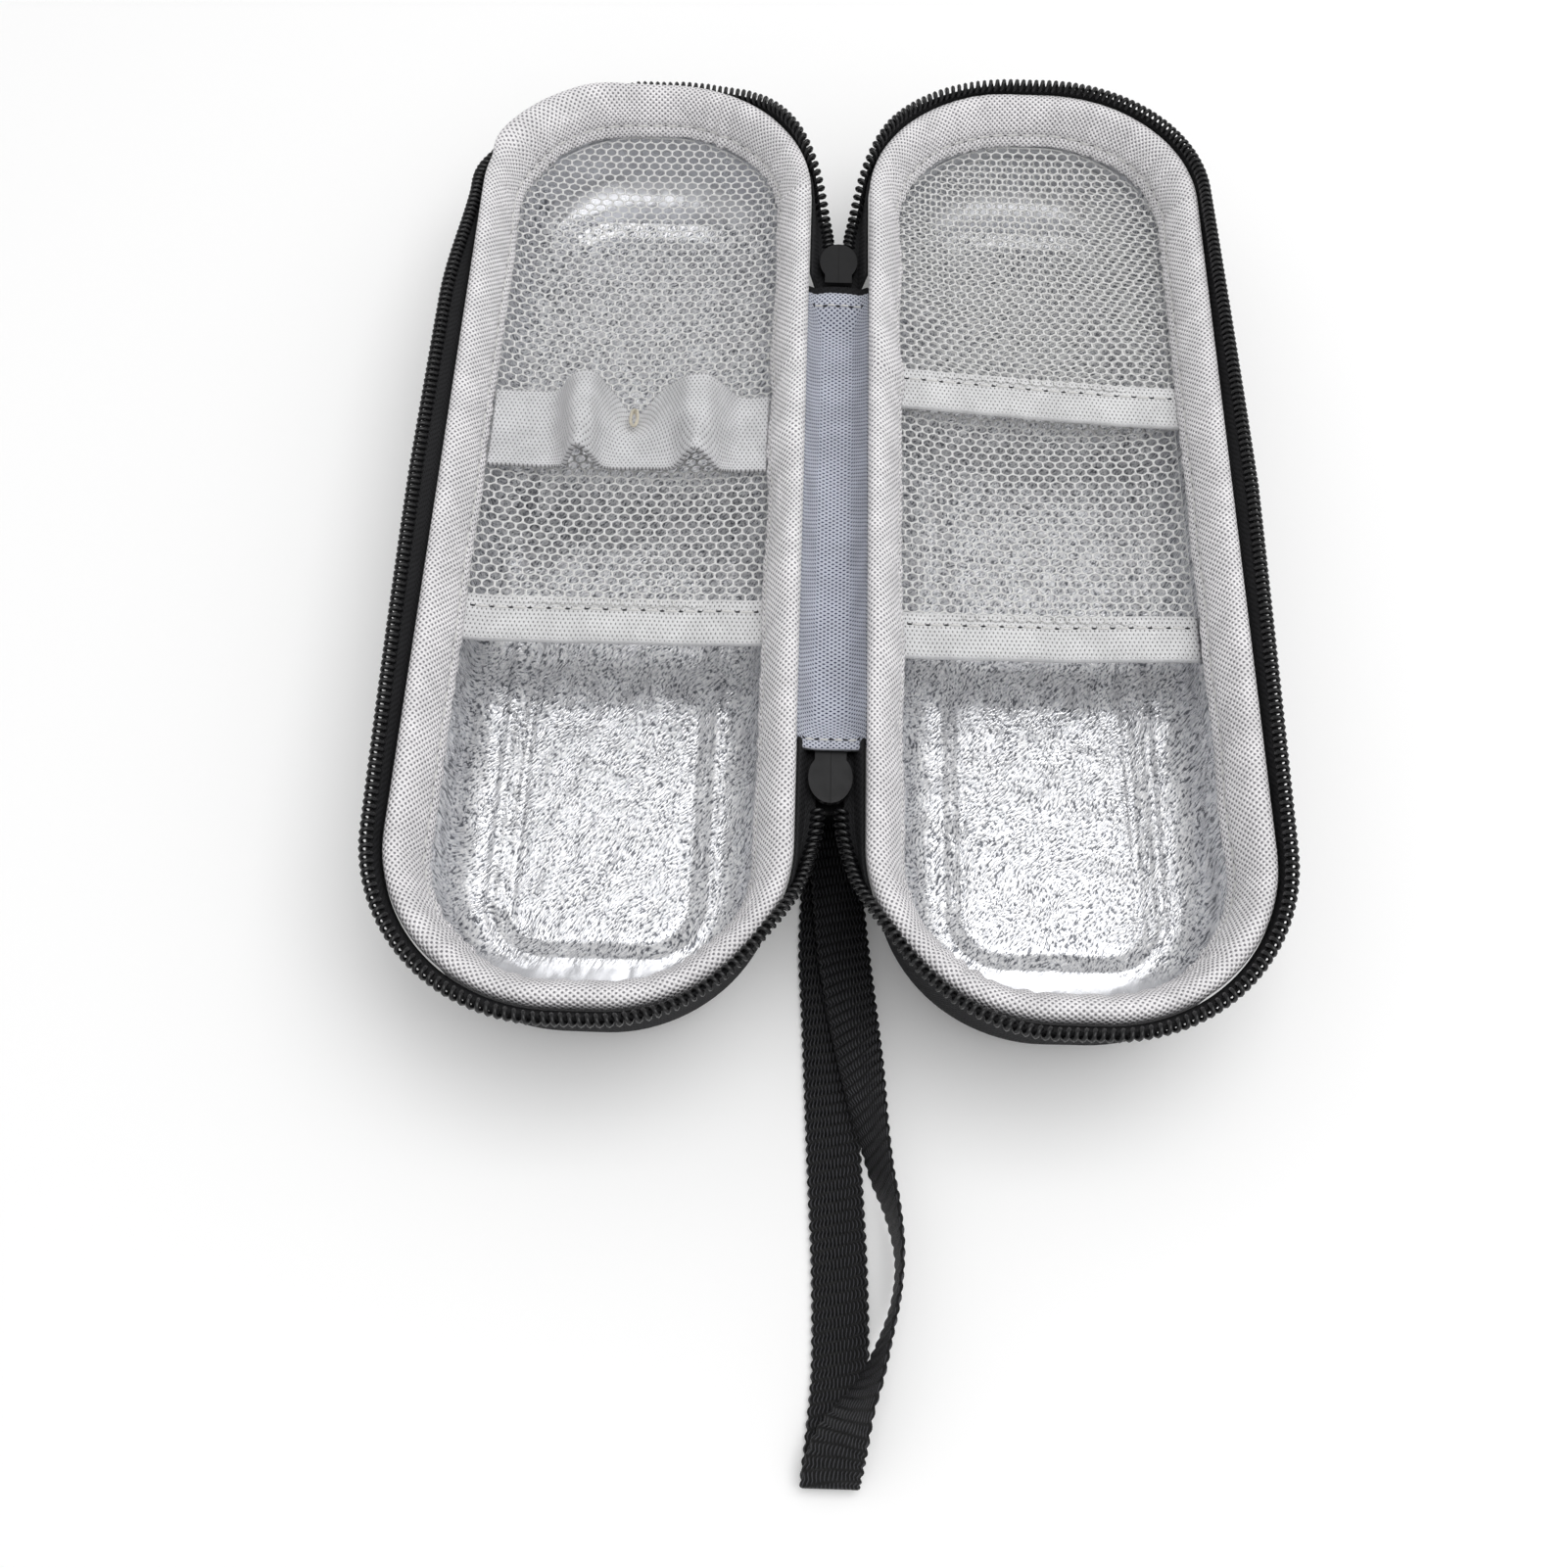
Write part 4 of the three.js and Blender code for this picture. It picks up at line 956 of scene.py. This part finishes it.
def foil_relief(points, facing, side):
    """Wrinkles of the film on its open face: smooth on the end walls, with the panel's edges pressed in."""
    if facing < 0:
        return np.zeros(len(points))
    seed = FOIL_SEEDS[side]
    smooth_ends = 1 - 0.9 * smoothstep(np.abs(points[:, 1]), *(rim_length / 2 - at for at in FILM_SMOOTH))
    broad = FILM_BROAD[1] * ripples(points, FILM_BROAD[0], seed, squeeze=(1, 0.5, 0.7))
    short = FILM_SHORT[1] * ripples(points, FILM_SHORT[0], seed + 100, waves=14, squeeze=(1, 0.5, 0.6))
    edge = smoothstep(half_depth - FOIL_TOP_DROP - points[:, 2], *FILM_EDGE)
    ledge_z = lining_depth + PANEL_RAISE
    on_floor = smoothstep(-points[:, 2], *(-ledge_z - over for over in FILM_FLOOR))
    past = past_panel(points[:, :2])
    ridge = PANEL_RIDGE * np.exp(-((past - PANEL_STEP / 2) / PANEL_LINE) ** 2)
    groove = PANEL_GROOVE * np.exp(-((past + PANEL_STEP / 2) / PANEL_LINE) ** 2)
    return (broad + short) * smooth_ends * edge + (ridge - groove) * on_floor


def shell_relief(points, facing, side):
    """Slight padding and waviness of the cloth on the outside of the shell."""
    if facing > 0:
        return np.zeros(len(points))
    length, rise = SHELL_WAVE
    height = points[:, 2]
    on_wall = smoothstep(height, *SHELL_BASE_FADE) * smoothstep(half_depth - height, *SHELL_RIM_FADE)
    return -rise * ripples(points, length, SHELL_SEEDS[side], squeeze=(1, 0.7, 1)) * on_wall


def moulded_half(side):
    body = f"{side}_half"
    shell = half_skin(f"{side}_shell_cloth", side, 0, SHELL_WALL, half_depth, SHELL_MESH,
                      LOOKS["shell"], shell_relief)
    map_base_flat(shell, PANEL_RAISE + BASE_FACE)
    dress(shell, body, "shell_fabric", f"{side}_shell")
    foam = half_skin(f"{side}_foam_layer", side, foam_depth, FOAM_WALL, half_depth - FOAM_TOP_DROP, FOAM_MESH,
                     LOOKS["foam"])
    dress(foam, body, "liner_foam", f"{side}_foam_liner")
    foil = half_skin(f"{side}_foil_film", side, foil_depth, FOIL_WALL, half_depth - FOIL_TOP_DROP, FOIL_MESH,
                     LOOKS["foil"], foil_relief)
    dress(foil, body, "foil", f"{side}_foil_lining")


def binding_relief(side, points, outs, lengths):
    """Puckers, slow swell and lap of the binding at each place round the rim."""
    around, run = lengths[-1], lengths[:-1]
    seed = BINDING_SEEDS[side]
    corner = np.abs(2 * outs[:, 0] * outs[:, 1])
    pleat = np.abs(ring_ripples(run, around, PLEAT[0], seed + 7)) - PLEAT_SINK
    pucker = ring_ripples(run, around, PUCKER[0], seed) * PUCKER[1]
    pucker = pucker + pleat * (PLEAT[1] + CORNER_PLEAT * corner)
    swell = ring_ripples(run, around, SWELL[0], seed + 5) * SWELL[1]
    inner_side = outs[:, 0] * half_x[side] < -0.9 * half_centre
    from_join = points[:, 1] - JOIN_AT[side]
    lap = smoothstep(from_join, -LAP_STEP, LAP_STEP) * (1 - smoothstep(from_join, *LAP_TAIL))
    return pucker, swell, LAP_THICK * np.where(inner_side, lap, 0)


def binding(side):
    """Padded tape folded over the rim, puckered along its seam and round the corners, lapped by the spine."""
    points, outs, lengths = rim_stations(BINDING_STEP)
    section = resample(looped(spline(BINDING_SECTION, 6, closed=True)), BINDING_POINTS + 1)[:-1]
    section_lengths = path_lengths(looped(section))
    tangent = unit(np.roll(section, -1, axis=0) - np.roll(section, 1, axis=0))
    facing = np.stack([-tangent[:, 1], tangent[:, 0]], axis=1)
    facing *= np.sign(np.einsum("ij,ij->i", facing, section - section.mean(axis=0)).sum())
    front = np.arange(len(section)) < BINDING_FRONT * len(section)
    from_hem = np.linalg.norm(section - np.array(HEM_STITCH_PLACE), axis=1)
    sewn_at = np.argmin(np.where(front, from_hem, np.inf))
    from_seam = np.abs(section_lengths[:-1] - section_lengths[sewn_at])
    groove = GROOVE_DEPTH * np.exp(-(from_seam / GROOVE_WIDTH) ** 2)
    free = smoothstep(section[:, 0], *FREE_INSET) * front
    puckered = lerp(PUCKER_LEAST, 1, smoothstep(section[:, 0], *PUCKER_INSET))
    pucker, swell, lap = binding_relief(side, points, outs, lengths)
    push = pucker[None] * puckered[:, None] + swell[None] + lap[None]
    push = (push - groove[:, None]) * free[:, None]
    turn = np.degrees(np.arccos(np.clip(outs[:, 0] * -half_x[side] / half_centre, -1, 1)))
    tucked = corner_share(points[:, 1], turn, side, TUCK_TURN, TUCK_SPAN)
    bulge = CORNER_BULGE * smoothstep(tucked, 0.5, 1)
    rows = []
    for (inset, z), (out_inset, out_z), shift in zip(section, facing, push):
        stand_out = bulge * (1 - smoothstep(inset, *BULGE_FADE))
        plan = points - outs * (inset + out_inset * shift - stand_out)[:, None]
        rows.append(np.column_stack([plan, half_depth + z + out_z * shift]))
    skin = np.array(rows)
    skin[..., 0] += half_x[side]
    piece = grid(f"{side}_binding_fold", skin.transpose(1, 0, 2), LOOKS["binding"], lengths, section_lengths,
                 loop_rows=True, loop_columns=True)
    dress(piece, f"{side}_half", "binding", f"{side}_binding")
    out = np.column_stack([-outs * facing[sewn_at, 0], np.full(len(outs), facing[sewn_at, 1])])
    seam(f"{side}_binding_stitches", looped(skin[sewn_at]), looped(out), f"{side}_half", "binding",
         **BINDING_SEAM)


# Zip

zip_start = slider_high[1] + SLIDER_RUN_GAP


def zip_plan(start_y, spacing):
    """Plan line of the right half's zip, from the spine's near end round the outer side to its far end."""
    side_y = rim_length / 2 - RIM_CORNER
    near_x, far_x = fold_x + RIM_CORNER, fold_x + rim_width - RIM_CORNER
    runs = [np.array([(fold_x, -start_y)])]
    for quarter, x, y in ((2, near_x, -side_y), (3, far_x, -side_y), (0, far_x, side_y), (1, near_x, side_y)):
        angle = (quarter + np.linspace(0, 1, 60)) * math.pi / 2
        runs.append(np.stack([x + RIM_CORNER * np.cos(angle), y + RIM_CORNER * np.sin(angle)], axis=1))
    runs.append(np.array([(fold_x, start_y)]))
    line = np.concatenate(runs)
    return resample(line, round(path_lengths(line)[-1] / spacing) + 1)


def corner_share(y, turn, side, turns, run):
    """How far the zip is drawn in or turned down, towards the left half's far outer corner."""
    return smoothstep(turn, *turns) * smoothstep(y, *run) * (side == "left")


def tape_lean(y, turn, side):
    """Lean of the tape from upright."""
    end_lean = np.where(y < 0, NEAR_LEAN, FAR_LEAN)
    side_end = rim_length / 2 - RIM_CORNER
    side_lean = np.interp(y, (-side_end, 0, side_end), SIDE_LEANS[side])
    lean = np.where(turn < 90, lerp(SPINE_LEAN, end_lean, smoothstep(turn, SPINE_TURN, 90)),
                    lerp(end_lean, side_lean, smoothstep(turn, 90, 180)))
    return np.radians(lerp(lean, TUCKED_LEAN, corner_share(y, turn, side, TUCK_TURN, TUCK_SPAN)))


def zip_sections(plan, side):
    """Sewn edge, knee and coil at each place of the zip, with the directions along and through the tape."""
    tangent = np.column_stack([unit(np.gradient(plan, axis=0)), np.zeros(len(plan))])
    out = np.column_stack([tangent[:, 1], -tangent[:, 0], np.zeros(len(plan))])
    turn = np.degrees(np.arccos(np.clip(-out[:, 0], -1, 1)))
    from_slider = np.abs(plan[:, 1]) - zip_start
    parted = smoothstep(from_slider, 0, PART_RUN)
    joined = smoothstep(-from_slider, SLIDER_RUN_GAP, slider_high[1] - slider_low[1] - SLIDER_MOUTH)
    risen = np.where(turn < 90, smoothstep(from_slider, RISE_START, RISE_START + RISE_RUN), 1)[:, None]
    lean = tape_lean(plan[:, 1], turn, side)
    drawn = corner_share(plan[:, 1], turn, side, DRAW_TURN, DRAW_SPAN)
    reach = lerp(TAPE_REACH, TUCKED_REACH, drawn)
    base = np.column_stack([plan, np.full(len(plan), fold_z)]) + out * SEW_GAP

    def at(outward, up):
        lifted = np.zeros_like(base)
        lifted[:, 2] = up
        return base + out * outward[:, None] + lifted

    spread = lerp(lerp(COIL_SPREAD, PARTED_SPREAD, parted), CHAIN_SPREAD, joined)
    standing = at(reach * np.sin(lean), reach * np.cos(lean))
    dipped = at(fold_x - spread / 2 - SEW_GAP, -SLIDER_DIP)
    knee_dipped = at(fold_x - lerp(TAPE_KNEE, PARTED_KNEE, parted) / 2 - SEW_GAP, -SLIDER_DIP)
    coil = lerp(dipped, standing, risen)
    knee = lerp(knee_dipped, lerp(base, standing, TAPE_BEND), risen)
    along = unit(coil - knee)
    through = unit(np.cross(along, tangent))
    return base, knee, coil, along, through


def zip_stretches(plan):
    """The zip in three: its near end, its run round the half, and its far end."""
    by_spine = (plan[:, 0] < fold_x + RIM_CORNER) & (np.abs(plan[:, 1]) < BLEND_TO + BLEND_OVER)
    near = np.nonzero(by_spine & (plan[:, 1] < 0))[0]
    far = np.nonzero(by_spine & (plan[:, 1] > 0))[0]
    return {"near": near, "run": np.arange(near[-1], far[0] + 1), "far": far}


def zip_pieces(kind, side, plan, skin, lengths, across):
    """The tape or coil of a half: its run rides on the half, each end turns from the spine to the half."""
    body = f"{side}_half"
    for stretch, rows in zip_stretches(plan).items():
        points = skin[rows] * np.array([-1 if side == "left" else 1, 1, 1])
        piece = tube(f"{side}_{kind}_{stretch}", points, kind, lengths[rows], across)
        if stretch == "run":
            dress(piece, body, kind, f"{side}_{kind}")
            continue
        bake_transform(piece)


def zip_tape(side):
    plan = zip_plan(lining_high[1] + LAYER_GAP, TAPE_STEP)
    base, knee, coil, along, _ = zip_sections(plan, side)
    edge = coil - along * TAPE_HIDDEN
    lower = [lerp(base, knee, k / 4) for k in range(4)]
    upper = [lerp(knee, edge, k / 4) for k in range(5)]
    line = np.stack(lower + upper, axis=1)
    slope = unit(np.gradient(line, axis=1))
    forward = unit(np.gradient(base, axis=0))[:, None]
    face = unit(np.cross(slope, np.broadcast_to(forward, slope.shape)))
    skin = np.concatenate([line + face * TAPE_THICK / 2, (line - face * TAPE_THICK / 2)[:, ::-1]], axis=1)
    zip_pieces("zip_tape", side, plan, skin, path_lengths(plan), path_lengths(looped(skin[len(plan) // 2])))


def zip_coil(side):
    plan = zip_plan(slider_high[1] + LAYER_GAP, COIL_PITCH / COIL_STEPS)
    _, _, coil, along, through = zip_sections(plan, side)
    turns = path_lengths(plan) / COIL_PITCH * 2 * math.pi
    swing = along * (COIL_WIDE * np.cos(turns))[:, None]
    wire = coil + swing + through * (COIL_HIGH * np.sin(turns))[:, None]
    heading = unit(np.gradient(wire, axis=0))
    other = unit(np.cross(heading, unit(wire - coil)))
    skin = ring_about(wire, np.cross(other, heading), other, COIL_SIDES, COIL_WIRE, COIL_WIRE)
    across = np.linspace(0, 2 * math.pi * COIL_WIRE, COIL_SIDES + 1)
    zip_pieces("zip_coil", side, plan, skin, path_lengths(wire), across)


def zip_chain(place_name, sign):
    """Joined end of the zip inside a slider: the two coils hooked together along the edges of the tapes."""
    y = np.linspace(lining_high[1] + LAYER_GAP, slider_high[1] - CHAIN_SHORT, CHAIN_ROWS)
    z = fold_z - SLIDER_DIP
    outline = [(0, CHAIN_CREST), *CHAIN_SECTION, *((-x, height) for x, height in reversed(CHAIN_SECTION))]
    points = np.array([[(x, sign * at, z + height) for x, height in outline] for at in y])
    wave = CHAIN_WAVE * np.sin(y / COIL_PITCH * 2 * math.pi)[:, None]
    points[:, :3, 2] += wave
    points[:, -2:, 2] -= wave
    piece = tube(f"{place_name}_zip_chain", points, "zip_coil")
    dress(piece, "spine", "zip_tape", f"{place_name}_zip_end")


# Spine

def spine_section(count, drop_at_edge, hem):
    """Across the spine: down from one fold line, flat between two creases, and up to the other."""
    half = fold_x - LAYER_GAP
    top = fold_z - drop_at_edge
    low = lining_low[2] + SPINE_BED - (drop_at_edge - LAYER_GAP) + LINING_HEM_RISE * hem
    foot = lerp(LINING_FLAT, LINING_HEM_FLAT, hem)
    shoulder = (half - lerp(*SHOULDER_INSET, hem), lerp(low, top, SHOULDER_RISE))
    right = [(foot - SPINE_CREASE[0], low), (foot, low + SPINE_CREASE[1]), shoulder, (half, top)]
    stops = [(-x, z) for x, z in reversed(right)] + [(0, low - SPINE_HOLLOW)] + right
    return resample(spline(stops, 8), count)


def spine_sheet(name, ends, drop_at_edge, thickness, look, rows, wave):
    """Sheet of cloth along the spine, with a gentle slack wave, opened out flat towards its hems."""
    y = np.linspace(*ends, rows)
    hem = 1 - smoothstep(np.minimum(y - y[0], y[-1] - y), 0, LINING_HEM)
    sections = np.array([spine_section(SPINE_POINTS, drop_at_edge, share) for share in hem])
    slope = unit(np.gradient(sections, axis=1))
    face = np.stack([-slope[..., 1], np.zeros(slope.shape[:2]), slope[..., 0]], axis=2)
    x, z = np.moveaxis(sections, 2, 0)
    top = np.stack([x, np.broadcast_to(y[:, None], x.shape), z], axis=2)
    across_share = np.abs(x) / fold_x
    slack = ripples(top, SLACK_LONG, SLACK_SEED, squeeze=(0.6, 1, 0))
    slack += SLACK_ACROSS_SHARE * ripples(top, SLACK_ACROSS, SLACK_SEED + 1, squeeze=(1, 0.25, 0))
    top[..., 2] += wave * slack * (1 - across_share ** 2)
    drawn = smoothstep(y, y[-1] - FAR_HEM_RUN, y[-1])[:, None]
    top[..., 1] -= FAR_HEM_DRAW * drawn * across_share ** 2.5
    skin = np.concatenate([top, (top - face * thickness)[:, ::-1]], axis=1)
    middle = sections[rows // 2]
    across = path_lengths(looped(np.concatenate([middle, middle[::-1]])))
    piece = tube(name, skin, look, y - y[0], across)
    return piece, top, face


def spine():
    cover_ends = lining_low[1], lining_high[1]
    lining_ends = lining_low[1] - NEAR_HEM_REACH, lining_high[1] - FAR_HEM_SHORT
    lining, top, face = spine_sheet("spine_lining_cloth", lining_ends, LAYER_GAP, LINING_THICK,
                                    "lining", LINING_ROWS, LINING_WAVE)
    dress(lining, "spine", "spine_lining", "spine_lining")
    cover = spine_sheet("spine_cover_cloth", cover_ends, LAYER_GAP + COVER_DROP, COVER_THICK,
                        "shell", COVER_ROWS, COVER_WAVE)[0]
    dress(cover, "spine", "shell_fabric", "spine_cover")
    for place_name, row in HEM_SEAM_ROWS.items():
        seam(f"spine_{place_name}_stitches", top[row, HEM_SEAM_RUN], face[row, HEM_SEAM_RUN],
             "spine", "spine_lining", **HEM_SEAM)


# Pockets

def cavity_half_width(z):
    return rim_width / 2 - wall_inset(lining_depth, z) - LAYER_GAP


def pocket_net(side, node, band_node, seed):
    """Net of round holes in a honeycomb, sewn in round the far end of a half and sagging in the middle."""
    low, high = node_box(node)
    z = (low[2] + high[2]) / 2
    half = cavity_half_width(z) - NET_EDGE
    band_low, band_high = node_box(band_node)
    slant = BAND_SLANT.get(band_node, 0)
    start_y = (band_low[1] + band_high[1]) / 2 + BAND_WIDTH / 2 - NET_LAP
    end_y = rim_length / 2 - (rim_width / 2 - half)
    corner = RIM_CORNER - (rim_width / 2 - half)
    rows = int((end_y - start_y) / NET_ROW) + 2
    columns = int(half / NET_PITCH) + 2
    centres = np.array([((c + (r % 2) / 2) * NET_PITCH, start_y + r * NET_ROW)
                        for r in range(rows) for c in range(-columns, columns + 1)])
    straight = np.array([half - corner, end_y - corner])
    reach = np.linalg.norm(np.maximum(np.abs(centres) - straight, 0), axis=1)
    inside = (reach < corner + NET_SPILL[1]) | (centres[:, 1] < straight[1])
    centres = centres[inside & (np.abs(centres[:, 0]) < half + NET_SPILL[0])]

    k = np.arange(NET_SIDES)
    angle = k * 2 * math.pi / NET_SIDES
    circle = np.stack([np.cos(angle), np.sin(angle) * NET_ROW / (NET_PITCH * math.sqrt(3) / 2)], axis=1)
    six_sided = np.where(k % 2 == 1, 1 / math.cos(math.pi / 6), 1.0)[:, None]
    ridge = centres[:, None] + circle * six_sided * NET_PITCH / 2
    plan = np.concatenate([ridge, ridge, centres[:, None] + circle * NET_HOLE], axis=1)
    lift = np.repeat([NET_THREAD, -NET_THREAD, 0], NET_SIDES)
    plan[..., 0] = np.clip(plan[..., 0], -half, half)
    past = np.maximum(np.abs(plan) - straight, 0) * (plan[..., 1:] > 0)
    over = np.maximum(np.linalg.norm(past, axis=2) - corner, 0)
    plan -= np.sign(plan) * unit(past + 1e-9) * over[..., None]
    share_y = np.clip((plan[..., 1] - start_y) / (end_y - start_y), 0, 1)
    held = 1 - (np.abs(plan[..., 0]) / half) ** NET_HELD[0]
    held = held * (4 * share_y * (1 - share_y)) ** NET_HELD[1]
    flat = np.concatenate([plan, np.zeros((*plan.shape[:2], 1))], axis=2)
    sag = NET_SAG + NET_UNEVEN[1] * ripples(flat, NET_UNEVEN[0], seed)
    height = z + lift[None] - held * sag
    plan[..., 1] += slant * plan[..., 0] * (1 - share_y)
    points = np.column_stack([plan.reshape(-1, 2), height.ravel()])
    points[:, 0] += half_x[side]

    turned = (k + 1) % NET_SIDES
    above, below, rim, rim_turned = k, k + NET_SIDES, k + 2 * NET_SIDES, turned + 2 * NET_SIDES
    upper = np.stack([above, turned, rim_turned, rim], axis=1)
    lower = np.stack([turned + NET_SIDES, below, rim, rim_turned], axis=1)
    base = np.arange(len(centres))[:, None, None] * 3 * NET_SIDES
    faces = (base + np.concatenate([upper, lower])[None]).reshape(-1, 4)
    piece = add_mesh(f"{node}_threads", points, faces.tolist(), points[faces.ravel(), :2], LOOKS["net"])
    dress(face_outward(piece, weld=0.01), f"{side}_half", "net", node)


def pocket_band(side, node, seed):
    """Straight elastic across a half, corded along its near edge and stitched beyond its middle."""
    low, high = node_box(node)
    z, centre_y = (low[2] + high[2]) / 2, (low[1] + high[1]) / 2
    half = cavity_half_width(z) + BAND_TUCK
    x = np.linspace(-half, half, BAND_ROWS)
    outline = np.array(BAND_UPPER + BAND_LOWER)
    line = np.column_stack([x, np.zeros_like(x), np.zeros_like(x)])
    sway = ripples(line, BAND_SWAY[0], seed) * BAND_SWAY[1] + BAND_SLANT.get(node, 0) * x
    dip = -BAND_DIP * (1 - (x / half) ** 2)
    points = np.array([[(at, centre_y + shift + a * BAND_WIDTH / 2, z + drop + t * BAND_THICK / 2)
                        for a, t in outline] for at, shift, drop in zip(x, sway, dip)])
    points[..., 2] += ripples(points, BAND_RIPPLE[0], seed + 1, squeeze=(1, 0.3, 0)) * BAND_RIPPLE[1]
    points[..., 0] += half_x[side]
    piece = tube(f"{node}_band", points, "elastic", x - x[0], width_map(outline, BAND_WIDTH))
    dress(piece, f"{side}_half", "elastic", node)
    path = points[BAND_BARE:-BAND_BARE, [a for a, _ in BAND_UPPER].index(BAND_STITCH)]
    up = np.tile([0, 0, 1.0], (len(path), 1))
    seam(f"{node}_stitches", path, up, f"{side}_half", "elastic", **BAND_SEAM)


def pen_loops():
    """Wide elastic held down at its ends and drawn in at its tack, standing up in two pen loops between."""
    low, high = node_box("pen_loop_elastic")
    foot = low[2] + LOOP_THICK / 2
    half = (high[0] - low[0]) / 2
    x = np.linspace(-half, half, LOOP_MESH[0])
    share = np.linspace(-1, 1, LOOP_MESH[1])
    across = lerp(low[1], high[1], (share + 1) / 2)
    edges = [np.interp(x, *spline(stops, 8).T)[:, None] - LOOP_SINK for stops in (LOOP_NEAR_LINE, LOOP_LINE)]
    rise = lerp(*edges, smoothstep(share, *LOOP_TURN))
    line = np.column_stack([x, rise[:, -1]])
    steep = np.gradient(rise, x, axis=0)
    face = unit(np.stack([-steep, np.zeros_like(steep), np.ones_like(steep)], axis=2))
    stands = np.clip(rise / LOOP_RISE, 0, 1)
    slack = 1 - stands
    gather = np.exp(-((x - TACK_PLACE[0]) / TACK_WIDE) ** 2)[:, None]
    edge = np.abs(share) ** 3
    far_part = smoothstep(share, *LOOP_FAR_PART)
    top = np.empty((len(x), len(share), 3))
    top[..., 0] = x[:, None]
    drawn = (TACK_DRAW * gather + CREST_DRAW * stands) * far_part
    top[..., 1] = across - LOOP_CURL[0] * slack * share * edge - drawn
    top[..., 2] = foot + rise + LOOP_CURL[1] * slack * edge - TACK_SINK * gather * far_part ** 2
    top[..., 2] += ripples(top, LOOP_RIPPLE[0], LOOP_SEED, squeeze=(1, 0.4, 0)) * LOOP_RIPPLE[1]
    bottom = top - face * LOOP_THICK
    skin = np.concatenate([top, bottom[:, ::-1]], axis=1) + [half_x["left"], 0, LOOP_THICK / 2]
    across_map = looped(np.concatenate([across, across[::-1]]))
    piece = tube("pen_loop_band", skin, "loop_elastic", path_lengths(line), across_map)
    dress(piece, "left_half", "elastic", "pen_loop_elastic")
    pen_tack(foot + LOOP_THICK / 2 + TACK_RISE)


def pen_tack(height):
    """Cream thread, twice round through the tack of the elastic."""
    turn = np.linspace(*TACK_TURN, 90)
    swing = 1 + TACK_GROW * turn
    tack = np.column_stack([half_x["left"] + TACK_PLACE[0] + TACK_REACH[0] * swing * np.cos(turn),
                            TACK_PLACE[1] + TACK_REACH[1] * swing * np.sin(turn),
                            height + TACK_WAVE[1] * np.sin(turn * TACK_WAVE[0]) + TACK_GROW * turn])
    heading = unit(np.gradient(tack, axis=0))
    side = unit(np.cross(heading, [0, 0, 1.0]))
    rings = ring_about(tack, side, np.cross(side, heading), 8, TACK_THREAD, TACK_THREAD)
    dress(tube("pen_loop_tack", rings, "cream_thread"), "left_half", "elastic")


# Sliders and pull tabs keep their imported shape, with softened edges

def metal_piece(node):
    piece = frame["nodes"][node]
    piece.data.materials.clear()
    piece.data.materials.append(LOOKS["slider"])
    soften = piece.modifiers.new("soft_edges", "BEVEL")
    soften.width = EDGE_SOFT * MM
    soften.segments = 2
    soften.limit_method = "ANGLE"
    soften.angle_limit = math.radians(35)


add_camera()
wrist_strap()
for half_side in ("left", "right"):
    moulded_half(half_side)
    binding(half_side)
    zip_tape(half_side)
    zip_coil(half_side)
for end_name, end_sign in (("far", 1), ("near", -1)):
    zip_chain(end_name, end_sign)
    metal_piece(f"{end_name}_slider")
    metal_piece(f"{end_name}_pull_tab")
spine()
for pocket, pocket_seed in (("left", 61), ("right_upper", 62), ("right_lower", 63)):
    pocket_side = pocket.split("_")[0]
    pocket_net(pocket_side, f"{pocket}_net", f"{pocket}_elastic", pocket_seed)
    pocket_band(pocket_side, f"{pocket}_elastic", pocket_seed + 10)
pen_loops()

add_floor()
add_world()
add_light("key_light", *KEY_LIGHT)
add_light("fill_light", *FILL_LIGHT)
bpy.context.scene.view_settings.view_transform = "Standard"
